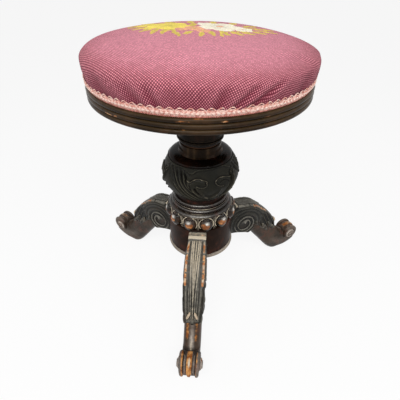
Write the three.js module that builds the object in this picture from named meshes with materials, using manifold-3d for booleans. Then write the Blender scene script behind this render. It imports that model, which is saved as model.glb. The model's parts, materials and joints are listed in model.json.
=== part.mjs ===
// A revolving piano stool: an upholstered round seat on a screw spindle, which winds up and down
// in a turned and carved column on three scrolled legs. Millimetres, +Z up.

import * as THREE from 'three';
import { mergeVertices } from 'three/addons/utils/BufferGeometryUtils.js';
import Module from 'manifold-3d';

const wasm = await Module();
wasm.setup();

// Clearances and facets
const fitGap = 0.3;
const cutOverrun = 4;
const weldDistance = 0.0005;
const seatSegments = 40;
const columnSegments = 24;
const ironSegments = columnSegments;
const smallSegments = 8;

// Legs
const legCount = 3;
const legReach = 247.5;
const legRise = 176;
const legHeadWidth = 35;
const legLeafWidth = 39;
const legShaftWidth = 27;
const legNubWidth = 13;
const legEdgeRound = 2.4;
const footScrollRadius = 20.8;
const footScrollHeight = 40.4;
const footButtonRadius = 13;
const footButtonWidth = 40;
const footButtonFaceShare = 0.72;
const footScrollStart = 150;
const footScrollEnd = -35;
const voluteRidgeRadius = 2.4;
const voluteRadius = 43;
const voluteEyeRadius = 12.5;
const voluteStart = 54;
const voluteSweep = 486;
const tongueWidth = 14;
const tongueSpread = 3;
const tongueDepth = 12;
const tongueMargin = 6;

// Drum and its rings
const drumRadius = 60.4;
const legSeatDepth = 3.1;
const drumUnderside = 4;
const drumBeadStand = 2.5;
const drumBeadHeight = 7;
const drumBeadDepth = 3.5;
const bossRingStep = 2.9;
const bossRingWall = 6.5;
const bossRingHeight = 26.1;
const bossRingLift = 2.3;
const bossCount = 12;
const bossStand = 6.5;
const bossWidth = 15.6;
const bossTall = 22;
const bossCentreShare = 0.57;

// Base moulding
const mouldingHeight = 28.4;
const mouldingOverhang = 0.6;
const mouldingWaistRadius = 53;
const mouldingTopRadius = 48.8;
const mouldingShares = { foot: 0.16, waist: 0.5, crown: 0.74 };

// Carved vase
const spigotRadius = 24;
const spigotLength = 51;
const vaseFootRadius = 44.7;
const bulbRadius = 67.7;
const bulbHeight = 70.9;
const shoulderRadius = 53.8;
const shoulderHeight = 7.2;
const neckRadius = 35;
const neckHeight = 16.5;
const spindleRoom = 1.5;

// Nut, spindle and stop
const threadPitch = 10;
const threadRadius = 12;
const threadCoreRadius = 9.8;
const threadCrest = 2.8;
const threadRoot = 5.2;
const threadPlay = 0.6;
const threadStepsPerTurn = 12;
const threadLead = 10;
const seatTravel = 100;
const nutPlateRadius = 28;
const nutPlateThickness = 4;
const nutHubRadius = 17.5;
const nutHubLength = 26;
const spindleShankRadius = 9.5;
const spindleTailRadius = 6;
const spindleTailLength = 11;
const stopWasherPlay = 0.6;
const stopWasherThickness = 5;
const stopPinRadius = 1.5;
const stopPinLength = 20;

// Thrust washer, seat boss and flange
const thrustWasherRadius = 33;
const thrustWasherThickness = 2.5;
const seatBossHeight = 87;
const seatBossRadius = 36.4;
const seatBossBeadRadius = 38;
const seatBossBeadHeight = 7;
const seatBossTopRadius = 62;
const seatBossTopThickness = 10;
const seatBossBoreRoom = 0.9;
const coveShares = { start: 0.5, bend: 0.82, out: 0.22 };
const flangeRadius = 40;
const flangeThickness = 4;
const flangeHubRadius = 17;
const flangeHubLength = 22;
const hubPinRadius = 2.5;

// Seat board, rim and upholstery
const boardThickness = 15.3;
const rimRadius = 162;
const rimWall = 23.2;
const rimHeight = 20.2;
const rimLedge = 13;
const reedCount = 3;
const reedDepth = 3.2;
const cushionOverhang = 0.8;
const cushionFootSetback = 5;
const cushionSideHeight = 29.5;
const cushionCrownHeight = 27.4;
const coverThickness = 2.5;
const braidHeight = 12.2;
const braidThickness = 1.5;
const crownFlatness = 2 / 1.82;
const crownFullness = 2 / 2.36;

// Screws: shank radius, head radius, head height, length
const tripodScrew = { shank: 2.4, head: 4.6, headHeight: 2.4, length: 20 };
const nutScrew = { shank: 1.9, head: 3.8, headHeight: 2, length: 16 };
const flangeScrew = { shank: 2.3, head: 4.4, headHeight: 2.3, length: 14 };
const bossScrew = { shank: 2.3, head: 4.4, headHeight: 2.3, length: 23 };
const tripodScrewMargin = 4.1;
const tripodScrewSpacing = 12;
const nutScrewCount = 3;
const nutScrewCircle = 22.5;
const flangeScrewCount = 4;
const flangeScrewCircle = 30;
const bossScrewCount = 4;
const bossScrewCircle = 51;

// Tripod plate
const plateThickness = 3.5;
const plateHubRadius = 30;
const plateArmWidth = 18;
const plateTipMargin = 6;

// Heights, stacked from the floor, and the radii that follow from others
const legHeadUndersideShare = 0.605;
const drumBase = legRise * legHeadUndersideShare + drumUnderside;
const drumShoulder = legRise + bossRingLift;
const drumTop = drumShoulder + fitGap + bossRingHeight;
const mouldingBase = drumTop + fitGap;
const vaseBase = mouldingBase + mouldingHeight + fitGap;
const bulbTop = vaseBase + bulbHeight;
const shoulderTop = bulbTop + shoulderHeight;
const neckTop = shoulderTop + neckHeight;
const nutSeat = neckTop - nutPlateThickness - fitGap;
const nutFoot = nutSeat + fitGap - nutHubLength;
const spigotFoot = vaseBase - spigotLength;
const thrustWasherBase = neckTop + fitGap;
const seatBossBase = thrustWasherBase + thrustWasherThickness + fitGap;
const seatBossTop = seatBossBase + seatBossHeight;
const boardBase = seatBossTop + fitGap;
const boardTop = boardBase + boardThickness;
const flangeBase = seatBossTop - flangeThickness;
const flangeHubFoot = flangeBase - flangeHubLength;
const rimBase = boardTop - rimHeight;
const cushionBase = boardTop + fitGap;
const stopWasherTop = nutFoot - seatTravel - fitGap;
const stopWasherBase = stopWasherTop - fitGap - stopWasherThickness;
const stopPinHeight = stopWasherBase - fitGap - stopPinRadius;
const hubPinHeight = flangeHubFoot + flangeHubLength / 2;
const plateTop = drumBase - fitGap;
const plateBase = plateTop - plateThickness;
const tongueFoot = drumBase + drumBeadHeight + 2 * fitGap;
const tongueTop = legRise - tongueMargin;
const drumFlatRadius = drumRadius - legSeatDepth;
const drumBeadRadius = drumRadius + drumBeadStand;
const bossRingRadius = drumRadius - bossRingStep;
const drumNeckRadius = bossRingRadius - bossRingWall;
const mouldingFootRadius = bossRingRadius + mouldingOverhang;
const innerScrewRadius = drumBeadRadius + tripodScrewMargin;
const outerScrewRadius = innerScrewRadius + tripodScrewSpacing;
const tripodScrewRadii = [innerScrewRadius, outerScrewRadius];
const plateArmReach = outerScrewRadius + plateTipMargin;
const legRoot = drumFlatRadius + fitGap;
const legSpan = legReach - legRoot;
const boardRadius = rimRadius - rimWall - fitGap;
const cushionRadius = rimRadius + cushionOverhang;
const cushionFootRadius = rimRadius - cushionFootSetback;
const spindleBore = threadRadius + spindleRoom;
const stopWasherRadius = spindleBore - stopWasherPlay;

// Materials, one for each finish
function finish(color, roughness, metalness = 0) {
  return new THREE.MeshStandardMaterial({ color, roughness, metalness });
}

const finishes = {
  needlework: () => finish(0xb86d7d, 0.9),
  braid: () => finish(0xd08f7d, 0.85),
  stuffing: () => finish(0xc9bba0, 0.95),
  rimWood: () => finish(0x4a3f34, 0.55),
  boardWood: () => finish(0x8a6a46, 0.7),
  blackWood: () => finish(0x1c1917, 0.35),
  carvedWood: () => finish(0x2f2c28, 0.5),
  legWood: () => finish(0x3a2a22, 0.45),
  redWood: () => finish(0x4d2a20, 0.4),
  paleBead: () => finish(0x9b8f80, 0.6),
  leather: () => finish(0x5a3d28, 0.8),
  iron: () => finish(0x4b4a48, 0.55, 0.9),
  steel: () => finish(0x8b8986, 0.4, 1),
};

// The group is shifted at the end, so that the origin is under the middle of the whole stool
const stool = new THREE.Group();

function addPart(name, geometry, material, place = {}) {
  const mesh = new THREE.Mesh(geometry, material);
  mesh.name = name;
  mesh.position.set(place.x ?? 0, place.y ?? 0, place.z ?? 0);
  mesh.rotation.set(place.tilt ?? 0, 0, place.turn ?? 0);
  stool.add(mesh);
  return mesh;
}

// Welds a geometry's shared points, drops faces without area and turns its faces outward
function welded(geometry) {
  const bare = geometry.clone();
  bare.deleteAttribute('normal');
  bare.deleteAttribute('uv');
  const merged = mergeVertices(bare, weldDistance);
  const place = merged.attributes.position;
  const corners = [];
  let volume = 0;
  const a = new THREE.Vector3();
  const b = new THREE.Vector3();
  const c = new THREE.Vector3();
  for (let i = 0; i < merged.index.count; i += 3) {
    const face = [0, 1, 2].map((k) => merged.index.getX(i + k));
    if (new Set(face).size < 3) continue;
    corners.push(...face);
    a.fromBufferAttribute(place, face[0]);
    b.fromBufferAttribute(place, face[1]);
    c.fromBufferAttribute(place, face[2]);
    volume += a.dot(b.cross(c));
  }
  if (volume < 0) corners.reverse();
  const closed = new THREE.BufferGeometry();
  closed.setAttribute('position', place);
  closed.setIndex(corners);
  return closed;
}

function solidOf(geometry) {
  const closed = welded(geometry);
  return new wasm.Manifold(new wasm.Mesh({
    numProp: 3,
    vertProperties: Float32Array.from(closed.attributes.position.array),
    triVerts: Uint32Array.from(closed.index.array),
  }));
}

function geometryOf(solid) {
  const mesh = solid.getMesh();
  const geometry = new THREE.BufferGeometry();
  geometry.setAttribute('position', new THREE.BufferAttribute(mesh.vertProperties, mesh.numProp));
  geometry.setIndex(new THREE.BufferAttribute(mesh.triVerts, 1));
  return geometry;
}

function joined(...geometries) {
  return geometryOf(geometries.map(solidOf).reduce((whole, piece) => whole.add(piece)));
}

function kept(geometry, room) {
  return geometryOf(solidOf(geometry).intersect(solidOf(room)));
}

function cut(geometry, ...cutters) {
  return geometryOf(cutters.map(solidOf).reduce((rest, cutter) => rest.subtract(cutter), solidOf(geometry)));
}

// A turned piece from its profile of [radius, height] points, with the axis upright
function turned(profile, segments) {
  const points = profile.map(([radius, height]) => new THREE.Vector2(radius, height));
  const geometry = new THREE.LatheGeometry(points, segments);
  geometry.rotateX(Math.PI / 2);
  return welded(geometry);
}

function turnedRing(profile, segments) {
  return turned([...profile, profile[0]], segments);
}

// A smooth run of [radius, height] points through the given ones
function smooth(points, steps) {
  const curve = new THREE.SplineCurve(points.map(([x, y]) => new THREE.Vector2(x, y)));
  return curve.getPoints(steps).map((point) => [point.x, point.y]);
}

// The half-round of a bead or reed between two heights, standing out from a radius
function beadPoints(radius, out, low, high, steps) {
  const points = [];
  for (let i = 0; i <= steps; i += 1) {
    const angle = -Math.PI / 2 + (Math.PI * i) / steps;
    points.push([radius + out * Math.cos(angle), (low + high) / 2 + ((high - low) / 2) * Math.sin(angle)]);
  }
  return points;
}

function upright(geometry, x, y, z) {
  return geometry.clone().translate(x, y, z);
}

function rod(radius, low, high, segments) {
  return turned([[0, low], [radius, low], [radius, high], [0, high]], segments);
}

// A rod across the axis, along X
function crossRod(radius, length, height) {
  const bar = rod(radius, -length / 2, length / 2, smallSegments);
  return bar.rotateY(Math.PI / 2).translate(0, 0, height);
}

// A slotted countersunk screw: its tip at zero, its head at the top
function screw(size) {
  const tip = size.shank;
  const neck = size.length - size.headHeight;
  const body = turned(
    [[0, 0], [size.shank, tip], [size.shank, neck], [size.head, size.length], [0, size.length]],
    smallSegments,
  );
  const slotWidth = size.shank / 2;
  const slotDepth = size.headHeight / 2;
  const slot = new THREE.BoxGeometry(2 * size.head + cutOverrun, slotWidth, 2 * slotDepth);
  slot.translate(0, 0, size.length);
  return cut(body, slot);
}

// The hole that a screw passes through, with its countersink open at the top
function screwHole(size) {
  const shank = size.shank + fitGap;
  const head = size.head + fitGap;
  const neck = size.length - size.headHeight;
  return turned(
    [
      [0, -fitGap],
      [shank, size.shank - fitGap],
      [shank, neck],
      [head, size.length],
      [head, size.length + cutOverrun],
      [0, size.length + cutOverrun],
    ],
    smallSegments,
  );
}

function circlePlaces(count, radius, start = 0) {
  return Array.from({ length: count }, (_, i) => {
    const angle = start + (2 * Math.PI * i) / count;
    return { angle, x: radius * Math.cos(angle), y: radius * Math.sin(angle) };
  });
}

// Leg outline in its own plane: shares of the span outward from the drum, and of the rise
const legTopShares = [
  [0, 1], [0.09, 0.982], [0.18, 0.954], [0.26, 0.936], [0.33, 0.9], [0.4, 0.838],
  [0.48, 0.762], [0.548, 0.68], [0.606, 0.598], [0.643, 0.517], [0.657, 0.453],
];
const leafBorderShares = [[0.62, 0.415], [0.56, 0.43], [0.5, 0.465], [0.45, 0.455], [0.41, 0.41]];
const headUndersideShares = [
  [0.371, 0.393], [0.334, 0.453], [0.286, 0.508], [0.2, 0.55], [0.1, 0.583], [0, legHeadUndersideShare],
];
const shaftTopShares = [[0.42, 0.6], [0.56, 0.56], [0.63, 0.46], [0.69, 0.39], [0.739, 0.337], [0.776, 0.3]];
const shaftUndersideShares = [
  [0.648, 0.023], [0.595, 0.076], [0.542, 0.148], [0.494, 0.218], [0.44, 0.297], [0.38, 0.38], [0.32, 0.5],
];
const footUndersideShares = [[0.938, 0.1], [0.897, 0.053], [0.845, 0.016]];
const soleShares = [0.787, 0.691];
const nubShares = [[0.6, 0.54], [0.66, 0.462], [0.693, 0.436], [0.707, 0.385], [0.7, 0.33], [0.6, 0.38]];
const voluteCentreShare = [0.185, 0.692];
const leafWidestShare = 0.5;

const inLegPlane = ([span, rise]) => [legRoot + span * legSpan, rise * legRise];

// An outline in the leg's plane, given its width and the rounding of its edges
function legSlab(outline, width, edge) {
  const shape = new THREE.Shape(outline.map(([x, y]) => new THREE.Vector2(x, y)));
  const geometry = new THREE.ExtrudeGeometry(shape, {
    depth: width - 2 * edge,
    bevelEnabled: edge > 0,
    bevelThickness: edge,
    bevelSize: edge,
    bevelOffset: -edge,
    bevelSegments: 1,
    steps: 1,
  });
  geometry.translate(0, 0, edge - width / 2);
  return geometry;
}

// The head is wider over the leaf than at the drum
function swellLeaf(geometry) {
  const place = geometry.attributes.position;
  const widest = legRoot + leafWidestShare * legSpan;
  const reach = widest - legRoot;
  for (let i = 0; i < place.count; i += 1) {
    const away = Math.min(Math.abs(place.getX(i) - widest) / reach, 1);
    const swell = 1 + (legLeafWidth / legHeadWidth - 1) * (1 - away * away);
    place.setZ(i, place.getZ(i) * swell);
  }
  return geometry;
}

function legHead() {
  const outline = [
    ...smooth(legTopShares.map(inLegPlane), 12),
    ...leafBorderShares.map(inLegPlane),
    ...smooth(headUndersideShares.map(inLegPlane), 5),
  ];
  return swellLeaf(legSlab(outline, legHeadWidth, legEdgeRound));
}

function footScroll() {
  const centre = legReach - footScrollRadius;
  const points = [];
  const steps = 9;
  for (let i = 0; i <= steps; i += 1) {
    const angle = THREE.MathUtils.degToRad(footScrollStart + ((footScrollEnd - footScrollStart) * i) / steps);
    points.push([
      centre + footScrollRadius * Math.cos(angle),
      footScrollHeight + footScrollRadius * Math.sin(angle),
    ]);
  }
  return points;
}

function legShaft() {
  const sole = soleShares.map((span) => inLegPlane([span, 0]));
  const outline = [
    ...smooth(shaftTopShares.map(inLegPlane), 5),
    ...footScroll(),
    ...footUndersideShares.map(inLegPlane),
    ...sole,
    ...smooth(shaftUndersideShares.map(inLegPlane), 7),
  ];
  return legSlab(outline, legShaftWidth, legEdgeRound);
}

function footButton() {
  const half = footButtonWidth / 2;
  const shallow = footButtonRadius * footButtonFaceShare;
  const inset = half - legEdgeRound;
  const button = turned(
    [
      [0, -half],
      [shallow, -half],
      [footButtonRadius, -inset],
      [footButtonRadius, inset],
      [shallow, half],
      [0, half],
    ],
    ironSegments / 2,
  );
  return upright(button, legReach - footScrollRadius, footScrollHeight, 0);
}

// The ridge of the volute: it winds in from the top of the head to the ring round its eye
class VolutePath extends THREE.Curve {
  constructor(side) {
    super();
    this.side = side;
  }

  getPoint(share, target = new THREE.Vector3()) {
    const turn = THREE.MathUtils.degToRad(voluteStart + voluteSweep * share);
    const radius = voluteRadius * (voluteEyeRadius / voluteRadius) ** share;
    const [x, y] = inLegPlane(voluteCentreShare);
    const face = this.side * (legHeadWidth / 2);
    return target.set(x + radius * Math.cos(turn), y + radius * Math.sin(turn), face);
  }
}

function voluteRidge(side) {
  const section = new THREE.Shape(
    circlePlaces(4, voluteRidgeRadius).map(({ x, y }) => new THREE.Vector2(x, y)),
  );
  return new THREE.ExtrudeGeometry(section, {
    steps: 18,
    bevelEnabled: false,
    extrudePath: new VolutePath(side),
  });
}

function volutePad() {
  const [x, y] = inLegPlane(voluteCentreShare);
  const half = legHeadWidth / 2 + voluteRidgeRadius / 2;
  const radius = voluteEyeRadius / 2;
  return upright(rod(radius, -half, half, smallSegments), x, y, 0);
}

// The dovetail tongue that slides up into the drum, and with a gap the mortice that takes it
function dovetail(gap, low, high) {
  const face = legRoot + fitGap;
  const back = legRoot - tongueDepth - gap;
  const half = tongueWidth / 2 + gap;
  const wide = half + tongueSpread;
  const section = new THREE.Shape([
    new THREE.Vector2(face + cutOverrun, -half),
    new THREE.Vector2(face + cutOverrun, half),
    new THREE.Vector2(face, half),
    new THREE.Vector2(back, wide),
    new THREE.Vector2(back, -wide),
    new THREE.Vector2(face, -half),
  ]);
  const prism = new THREE.ExtrudeGeometry(section, { depth: high - low, bevelEnabled: false });
  return prism.translate(0, 0, low);
}

// The bed that is let into each leg head for the arm of the tripod plate
function armBed() {
  const low = -cutOverrun;
  const length = plateArmReach + fitGap;
  const bed = new THREE.BoxGeometry(length, plateArmWidth + 2 * fitGap, drumBase - low);
  return bed.translate(length / 2, 0, (drumBase + low) / 2);
}

// The leg stands in the XZ plane, with its root towards the axis
function legGeometry() {
  const carved = joined(
    legHead(),
    legShaft(),
    legSlab(nubShares.map(inLegPlane), legNubWidth, 0),
    footButton(),
    voluteRidge(1),
    voluteRidge(-1),
    volutePad(),
  );
  carved.rotateX(Math.PI / 2);
  const withTongue = joined(carved, dovetail(0, tongueFoot, tongueTop));
  const screwHoles = tripodScrewRadii.map((radius) => {
    const hole = screwHole(tripodScrew).rotateX(Math.PI);
    return upright(hole, radius, 0, plateBase + tripodScrew.length);
  });
  return cut(withTongue, armBed(), ...screwHoles);
}

const legTurns = Array.from({ length: legCount }, (_, i) => -Math.PI / 2 + (2 * Math.PI * i) / legCount);
const legNames = ['leg_front', 'leg_right', 'leg_left'];

function makeLegs() {
  const geometry = legGeometry();
  legTurns.forEach((turn, i) => addPart(legNames[i], geometry, finishes.legWood(), { turn }));
}

// The room that the three leg heads take in the drum and its bead
function legHeadCutters() {
  const width = legHeadWidth + 2 * voluteRidgeRadius + 2 * fitGap;
  const high = legRise + fitGap;
  const depth = legReach - drumFlatRadius;
  return legTurns.map((turn) => {
    const room = new THREE.BoxGeometry(depth, width, high);
    return room.translate(drumFlatRadius + depth / 2, 0, high / 2).rotateZ(turn);
  });
}

function makeDrum() {
  const beadInner = drumFlatRadius - drumBeadDepth;
  const seat = beadInner - fitGap;
  const beadTop = drumBase + drumBeadHeight + fitGap;
  const socketFloor = spigotFoot - fitGap;
  const socketRadius = spigotRadius + fitGap;
  const body = turned(
    [
      [0, drumBase],
      [seat, drumBase],
      [seat, beadTop],
      [drumRadius, beadTop],
      [drumRadius, drumShoulder],
      [drumNeckRadius, drumShoulder],
      [drumNeckRadius, drumTop],
      [socketRadius, drumTop],
      [socketRadius, socketFloor],
      [0, socketFloor],
    ],
    columnSegments,
  );
  const mortices = legTurns.map((turn) => {
    return dovetail(fitGap, drumBase - cutOverrun, tongueTop + fitGap).rotateZ(turn);
  });
  addPart('base_drum', cut(body, ...legHeadCutters(), ...mortices), finishes.redWood());

  const half = drumBeadStand + fitGap;
  const bead = turnedRing(
    [
      [beadInner, drumBase],
      ...beadPoints(drumBeadRadius - half, half, drumBase, drumBase + drumBeadHeight, 4),
      [beadInner, drumBase + drumBeadHeight],
    ],
    columnSegments,
  );
  addPart('drum_bead', cut(bead, ...legHeadCutters()), finishes.paleBead());
}

// Twelve domed bosses on a turned ring, two between each pair of legs' centre lines
function makeBossRing() {
  const low = drumShoulder + fitGap;
  const high = low + bossRingHeight;
  const inner = drumNeckRadius + fitGap;
  const ring = turnedRing(
    [[inner, low], [bossRingRadius, low], [bossRingRadius, high], [inner, high]],
    columnSegments,
  );
  const bosses = circlePlaces(bossCount, bossRingRadius, Math.PI / bossCount).map(({ angle, x, y }) => {
    const boss = new THREE.SphereGeometry(1, 8, 4);
    boss.scale(bossStand, bossWidth / 2, bossTall / 2);
    return boss.rotateZ(angle).translate(x, y, low + bossRingHeight * bossCentreShare);
  });
  const inside = rod(inner, low - cutOverrun, high + cutOverrun, columnSegments);
  addPart('boss_ring', cut(joined(ring, ...bosses), inside), finishes.carvedWood());
}

function makeMoulding() {
  const bore = spigotRadius + fitGap;
  const foot = mouldingBase + mouldingHeight * mouldingShares.foot;
  const waist = mouldingBase + mouldingHeight * mouldingShares.waist;
  const crown = mouldingBase + mouldingHeight * mouldingShares.crown;
  const top = mouldingBase + mouldingHeight;
  const torus = (radius, low, high) => {
    const out = (high - low) / 2;
    return beadPoints(radius - out, out, low, high, 3);
  };
  const profile = [
    [bore, mouldingBase],
    ...torus(mouldingFootRadius, mouldingBase, foot),
    ...torus(mouldingWaistRadius, foot, waist).slice(0, -1),
    ...torus(mouldingTopRadius, waist, crown),
    [vaseFootRadius - fitGap, crown],
    [vaseFootRadius - fitGap, top],
    [bore, top],
  ];
  addPart('base_moulding', turnedRing(profile, columnSegments), finishes.redWood());
}

// Vase outline as shares of the bulb's radius and height
const bulbShares = [
  [0.82, 0.135], [0.926, 0.283], [0.981, 0.427], [1, 0.55], [0.962, 0.715], [0.892, 0.856], [0.809, 1],
];

function makeVase() {
  const recessRadius = nutPlateRadius + fitGap;
  const hubRecessRadius = nutHubRadius + fitGap;
  const hubFloor = nutFoot - fitGap;
  const bulb = smooth(
    [[vaseFootRadius, vaseBase], ...bulbShares.map(([r, z]) => [bulbRadius * r, vaseBase + bulbHeight * z])],
    9,
  );
  const dome = [];
  const domeSteps = 3;
  for (let i = 0; i <= domeSteps; i += 1) {
    const angle = (Math.PI / 2) * (i / domeSteps);
    dome.push([
      neckRadius + (shoulderRadius - neckRadius) * Math.cos(angle),
      bulbTop + shoulderHeight * Math.sin(angle),
    ]);
  }
  const body = turnedRing(
    [
      [spindleBore, spigotFoot],
      [spigotRadius, spigotFoot],
      [spigotRadius, vaseBase],
      ...bulb,
      ...dome,
      [neckRadius, neckTop],
      [recessRadius, neckTop],
      [recessRadius, nutSeat],
      [hubRecessRadius, nutSeat],
      [hubRecessRadius, hubFloor],
      [spindleBore, hubFloor],
    ],
    columnSegments,
  );
  addPart('column_vase', cut(body, ...nutScrewHoles()), finishes.carvedWood());
}

// A threaded rod as one closed surface: the ridge and the core between its turns wind up the axis,
// and a fan from the axis closes each end. Play widens it into the hole that the rod turns in. Its
// turns count from zero height, so that rod and hole are in phase wherever they begin
function threadedRod(play, low, high) {
  const stepHeight = threadPitch / threadStepsPerTurn;
  const first = Math.floor(low / stepHeight) - threadStepsPerTurn;
  const last = Math.ceil(high / stepHeight) + threadStepsPerTurn;
  const steps = last - first;
  const crest = (threadCrest + play) / 2;
  const root = (threadRoot + play) / 2;
  const core = threadCoreRadius + play;
  const outer = threadRadius + play;
  const section = [[core, -root], [outer, -crest], [outer, crest], [core, root]];
  const places = [];
  const faces = [];
  for (let i = 0; i <= steps; i += 1) {
    const angle = (2 * Math.PI * (first + i)) / threadStepsPerTurn;
    const height = stepHeight * (first + i);
    section.forEach(([radius, offset]) => {
      places.push(radius * Math.cos(angle), radius * Math.sin(angle), height + offset);
    });
  }
  const at = (step, point) => step * section.length + point;
  for (let i = 0; i < steps; i += 1) {
    for (let k = 0; k < 3; k += 1) {
      faces.push(at(i, k), at(i + 1, k), at(i + 1, k + 1), at(i, k), at(i + 1, k + 1), at(i, k + 1));
    }
    if (i + threadStepsPerTurn < steps) {
      const above = i + threadStepsPerTurn;
      faces.push(at(i, 3), at(i + 1, 3), at(above + 1, 0), at(i, 3), at(above + 1, 0), at(above, 0));
    }
  }
  const bottomLoop = [at(0, 0), at(0, 1), at(0, 2), at(0, 3)];
  for (let i = threadStepsPerTurn; i > 0; i -= 1) bottomLoop.push(at(i, 0));
  const topLoop = [at(steps, 3), at(steps, 2), at(steps, 1), at(steps, 0)];
  for (let i = steps - threadStepsPerTurn; i < steps; i += 1) topLoop.push(at(i, 3));
  [[bottomLoop, first], [topLoop, last]].forEach(([loop, step]) => {
    const axisPoint = places.length / 3;
    places.push(0, 0, stepHeight * step);
    loop.forEach((corner, i) => faces.push(axisPoint, corner, loop[(i + 1) % loop.length]));
  });
  const geometry = new THREE.BufferGeometry();
  geometry.setAttribute('position', new THREE.Float32BufferAttribute(places, 3));
  geometry.setIndex(faces);
  return kept(geometry, rod(outer + cutOverrun, low, high, smallSegments));
}

function makeSpindle() {
  const threadTop = seatBossBase + threadLead;
  const tailFoot = stopWasherBase - spindleTailLength + stopWasherThickness;
  const thread = threadedRod(0, stopWasherTop, threadTop);
  const tail = rod(spindleTailRadius, tailFoot, stopWasherTop + threadLead, smallSegments);
  const shank = rod(spindleShankRadius, threadTop - threadLead, seatBossTop, threadStepsPerTurn);
  const stopHole = crossRod(stopPinRadius + fitGap, 2 * threadRadius, stopPinHeight);
  const hubHole = crossRod(hubPinRadius + fitGap, 2 * flangeHubRadius + cutOverrun, hubPinHeight);
  addPart('screw_spindle', cut(joined(thread, tail, shank), stopHole, hubHole), finishes.steel());
}

function makeStop() {
  const bore = spindleTailRadius + fitGap;
  const washer = turnedRing(
    [
      [bore, stopWasherBase],
      [stopWasherRadius, stopWasherBase],
      [stopWasherRadius, stopWasherBase + stopWasherThickness],
      [bore, stopWasherBase + stopWasherThickness],
    ],
    ironSegments,
  );
  addPart('stop_washer', washer, finishes.iron());
  addPart('stop_pin', crossRod(stopPinRadius, stopPinLength, stopPinHeight), finishes.steel());
}

function nutScrewPlaces() {
  return circlePlaces(nutScrewCount, nutScrewCircle, Math.PI / 2);
}

function nutScrewHoles() {
  return nutScrewPlaces().map(({ x, y }) => upright(screwHole(nutScrew), x, y, neckTop - nutScrew.length));
}

// The nut is flush with the neck's top, and its thread matches the spindle's
function makeNut() {
  const plateBottom = nutSeat + fitGap;
  const body = turned(
    [
      [0, nutFoot],
      [nutHubRadius, nutFoot],
      [nutHubRadius, plateBottom],
      [nutPlateRadius, plateBottom],
      [nutPlateRadius, neckTop],
      [0, neckTop],
    ],
    ironSegments,
  );
  const hole = threadedRod(threadPlay, nutFoot - cutOverrun, neckTop + cutOverrun);
  addPart('thread_nut', cut(body, hole, ...nutScrewHoles()), finishes.iron());
  nutScrewPlaces().forEach(({ x, y, angle }, i) => {
    const place = { x, y, z: neckTop - nutScrew.length, turn: angle };
    addPart(`nut_screw_${i + 1}`, screw(nutScrew), finishes.steel(), place);
  });
}

function makeThrustWasher() {
  const bore = threadRadius + fitGap;
  const top = thrustWasherBase + thrustWasherThickness;
  const washer = turnedRing(
    [
      [bore, thrustWasherBase],
      [thrustWasherRadius, thrustWasherBase],
      [thrustWasherRadius, top],
      [bore, top],
    ],
    columnSegments,
  );
  addPart('thrust_washer', washer, finishes.leather());
}

function makeSeatBoss() {
  const beadTop = seatBossBase + seatBossBeadHeight;
  const beadOut = (seatBossBeadRadius - seatBossRadius) * 2;
  const topEdge = seatBossTop - seatBossTopThickness;
  const neckLength = topEdge - beadTop;
  const spread = seatBossTopRadius - seatBossRadius;
  const cove = smooth(
    [
      [seatBossRadius, beadTop + neckLength * coveShares.start],
      [seatBossRadius + spread * coveShares.out, beadTop + neckLength * coveShares.bend],
      [seatBossTopRadius - beadOut, topEdge],
    ],
    4,
  );
  const bore = threadRadius + seatBossBoreRoom;
  const body = turnedRing(
    [
      [bore, seatBossBase],
      ...beadPoints(seatBossBeadRadius - beadOut, beadOut, seatBossBase, beadTop, 4),
      [seatBossRadius, beadTop + beadOut / 2],
      ...cove,
      [seatBossTopRadius, topEdge],
      [seatBossTopRadius, seatBossTop],
      [flangeRadius + fitGap, seatBossTop],
      [flangeRadius + fitGap, flangeBase - fitGap],
      [flangeHubRadius + fitGap, flangeBase - fitGap],
      [flangeHubRadius + fitGap, flangeHubFoot - fitGap],
      [bore, flangeHubFoot - fitGap],
    ],
    columnSegments,
  );
  addPart('seat_boss', cut(body, ...bossScrewHoles()), finishes.blackWood());
  bossScrewPlaces().forEach(({ x, y }, i) => {
    const place = { x, y, z: boardTop - bossScrew.length };
    addPart(`boss_screw_${i + 1}`, screw(bossScrew), finishes.steel(), place);
  });
}

function bossScrewPlaces() {
  return circlePlaces(bossScrewCount, bossScrewCircle, Math.PI / bossScrewCount);
}

function bossScrewHoles() {
  const tip = boardTop - bossScrew.length;
  return bossScrewPlaces().map(({ x, y }) => upright(screwHole(bossScrew), x, y, tip));
}

function flangeScrewPlaces() {
  return circlePlaces(flangeScrewCount, flangeScrewCircle, Math.PI / flangeScrewCount);
}

function flangeScrewHoles() {
  const hole = screwHole(flangeScrew).rotateX(Math.PI);
  return flangeScrewPlaces().map(({ x, y }) => upright(hole, x, y, flangeBase + flangeScrew.length));
}

function makeFlange() {
  const bore = spindleShankRadius + fitGap;
  const body = turnedRing(
    [
      [bore, flangeHubFoot],
      [flangeHubRadius, flangeHubFoot],
      [flangeHubRadius, flangeBase],
      [flangeRadius, flangeBase],
      [flangeRadius, seatBossTop],
      [bore, seatBossTop],
    ],
    ironSegments,
  );
  const pinHole = crossRod(hubPinRadius + fitGap, 2 * flangeHubRadius + cutOverrun, hubPinHeight);
  addPart('seat_flange', cut(body, pinHole, ...flangeScrewHoles()), finishes.iron());
  const pinLength = 2 * flangeHubRadius - 2 * fitGap;
  addPart('hub_pin', crossRod(hubPinRadius, pinLength, hubPinHeight), finishes.steel());
  flangeScrewPlaces().forEach(({ x, y }, i) => {
    const place = { x, y, z: flangeBase + flangeScrew.length, tilt: Math.PI };
    addPart(`flange_screw_${i + 1}`, screw(flangeScrew), finishes.steel(), place);
  });
}

function makeBoard() {
  const disc = rod(boardRadius, boardBase, boardTop, seatSegments);
  addPart('seat_board', cut(disc, ...bossScrewHoles(), ...flangeScrewHoles()), finishes.boardWood());
}

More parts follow.
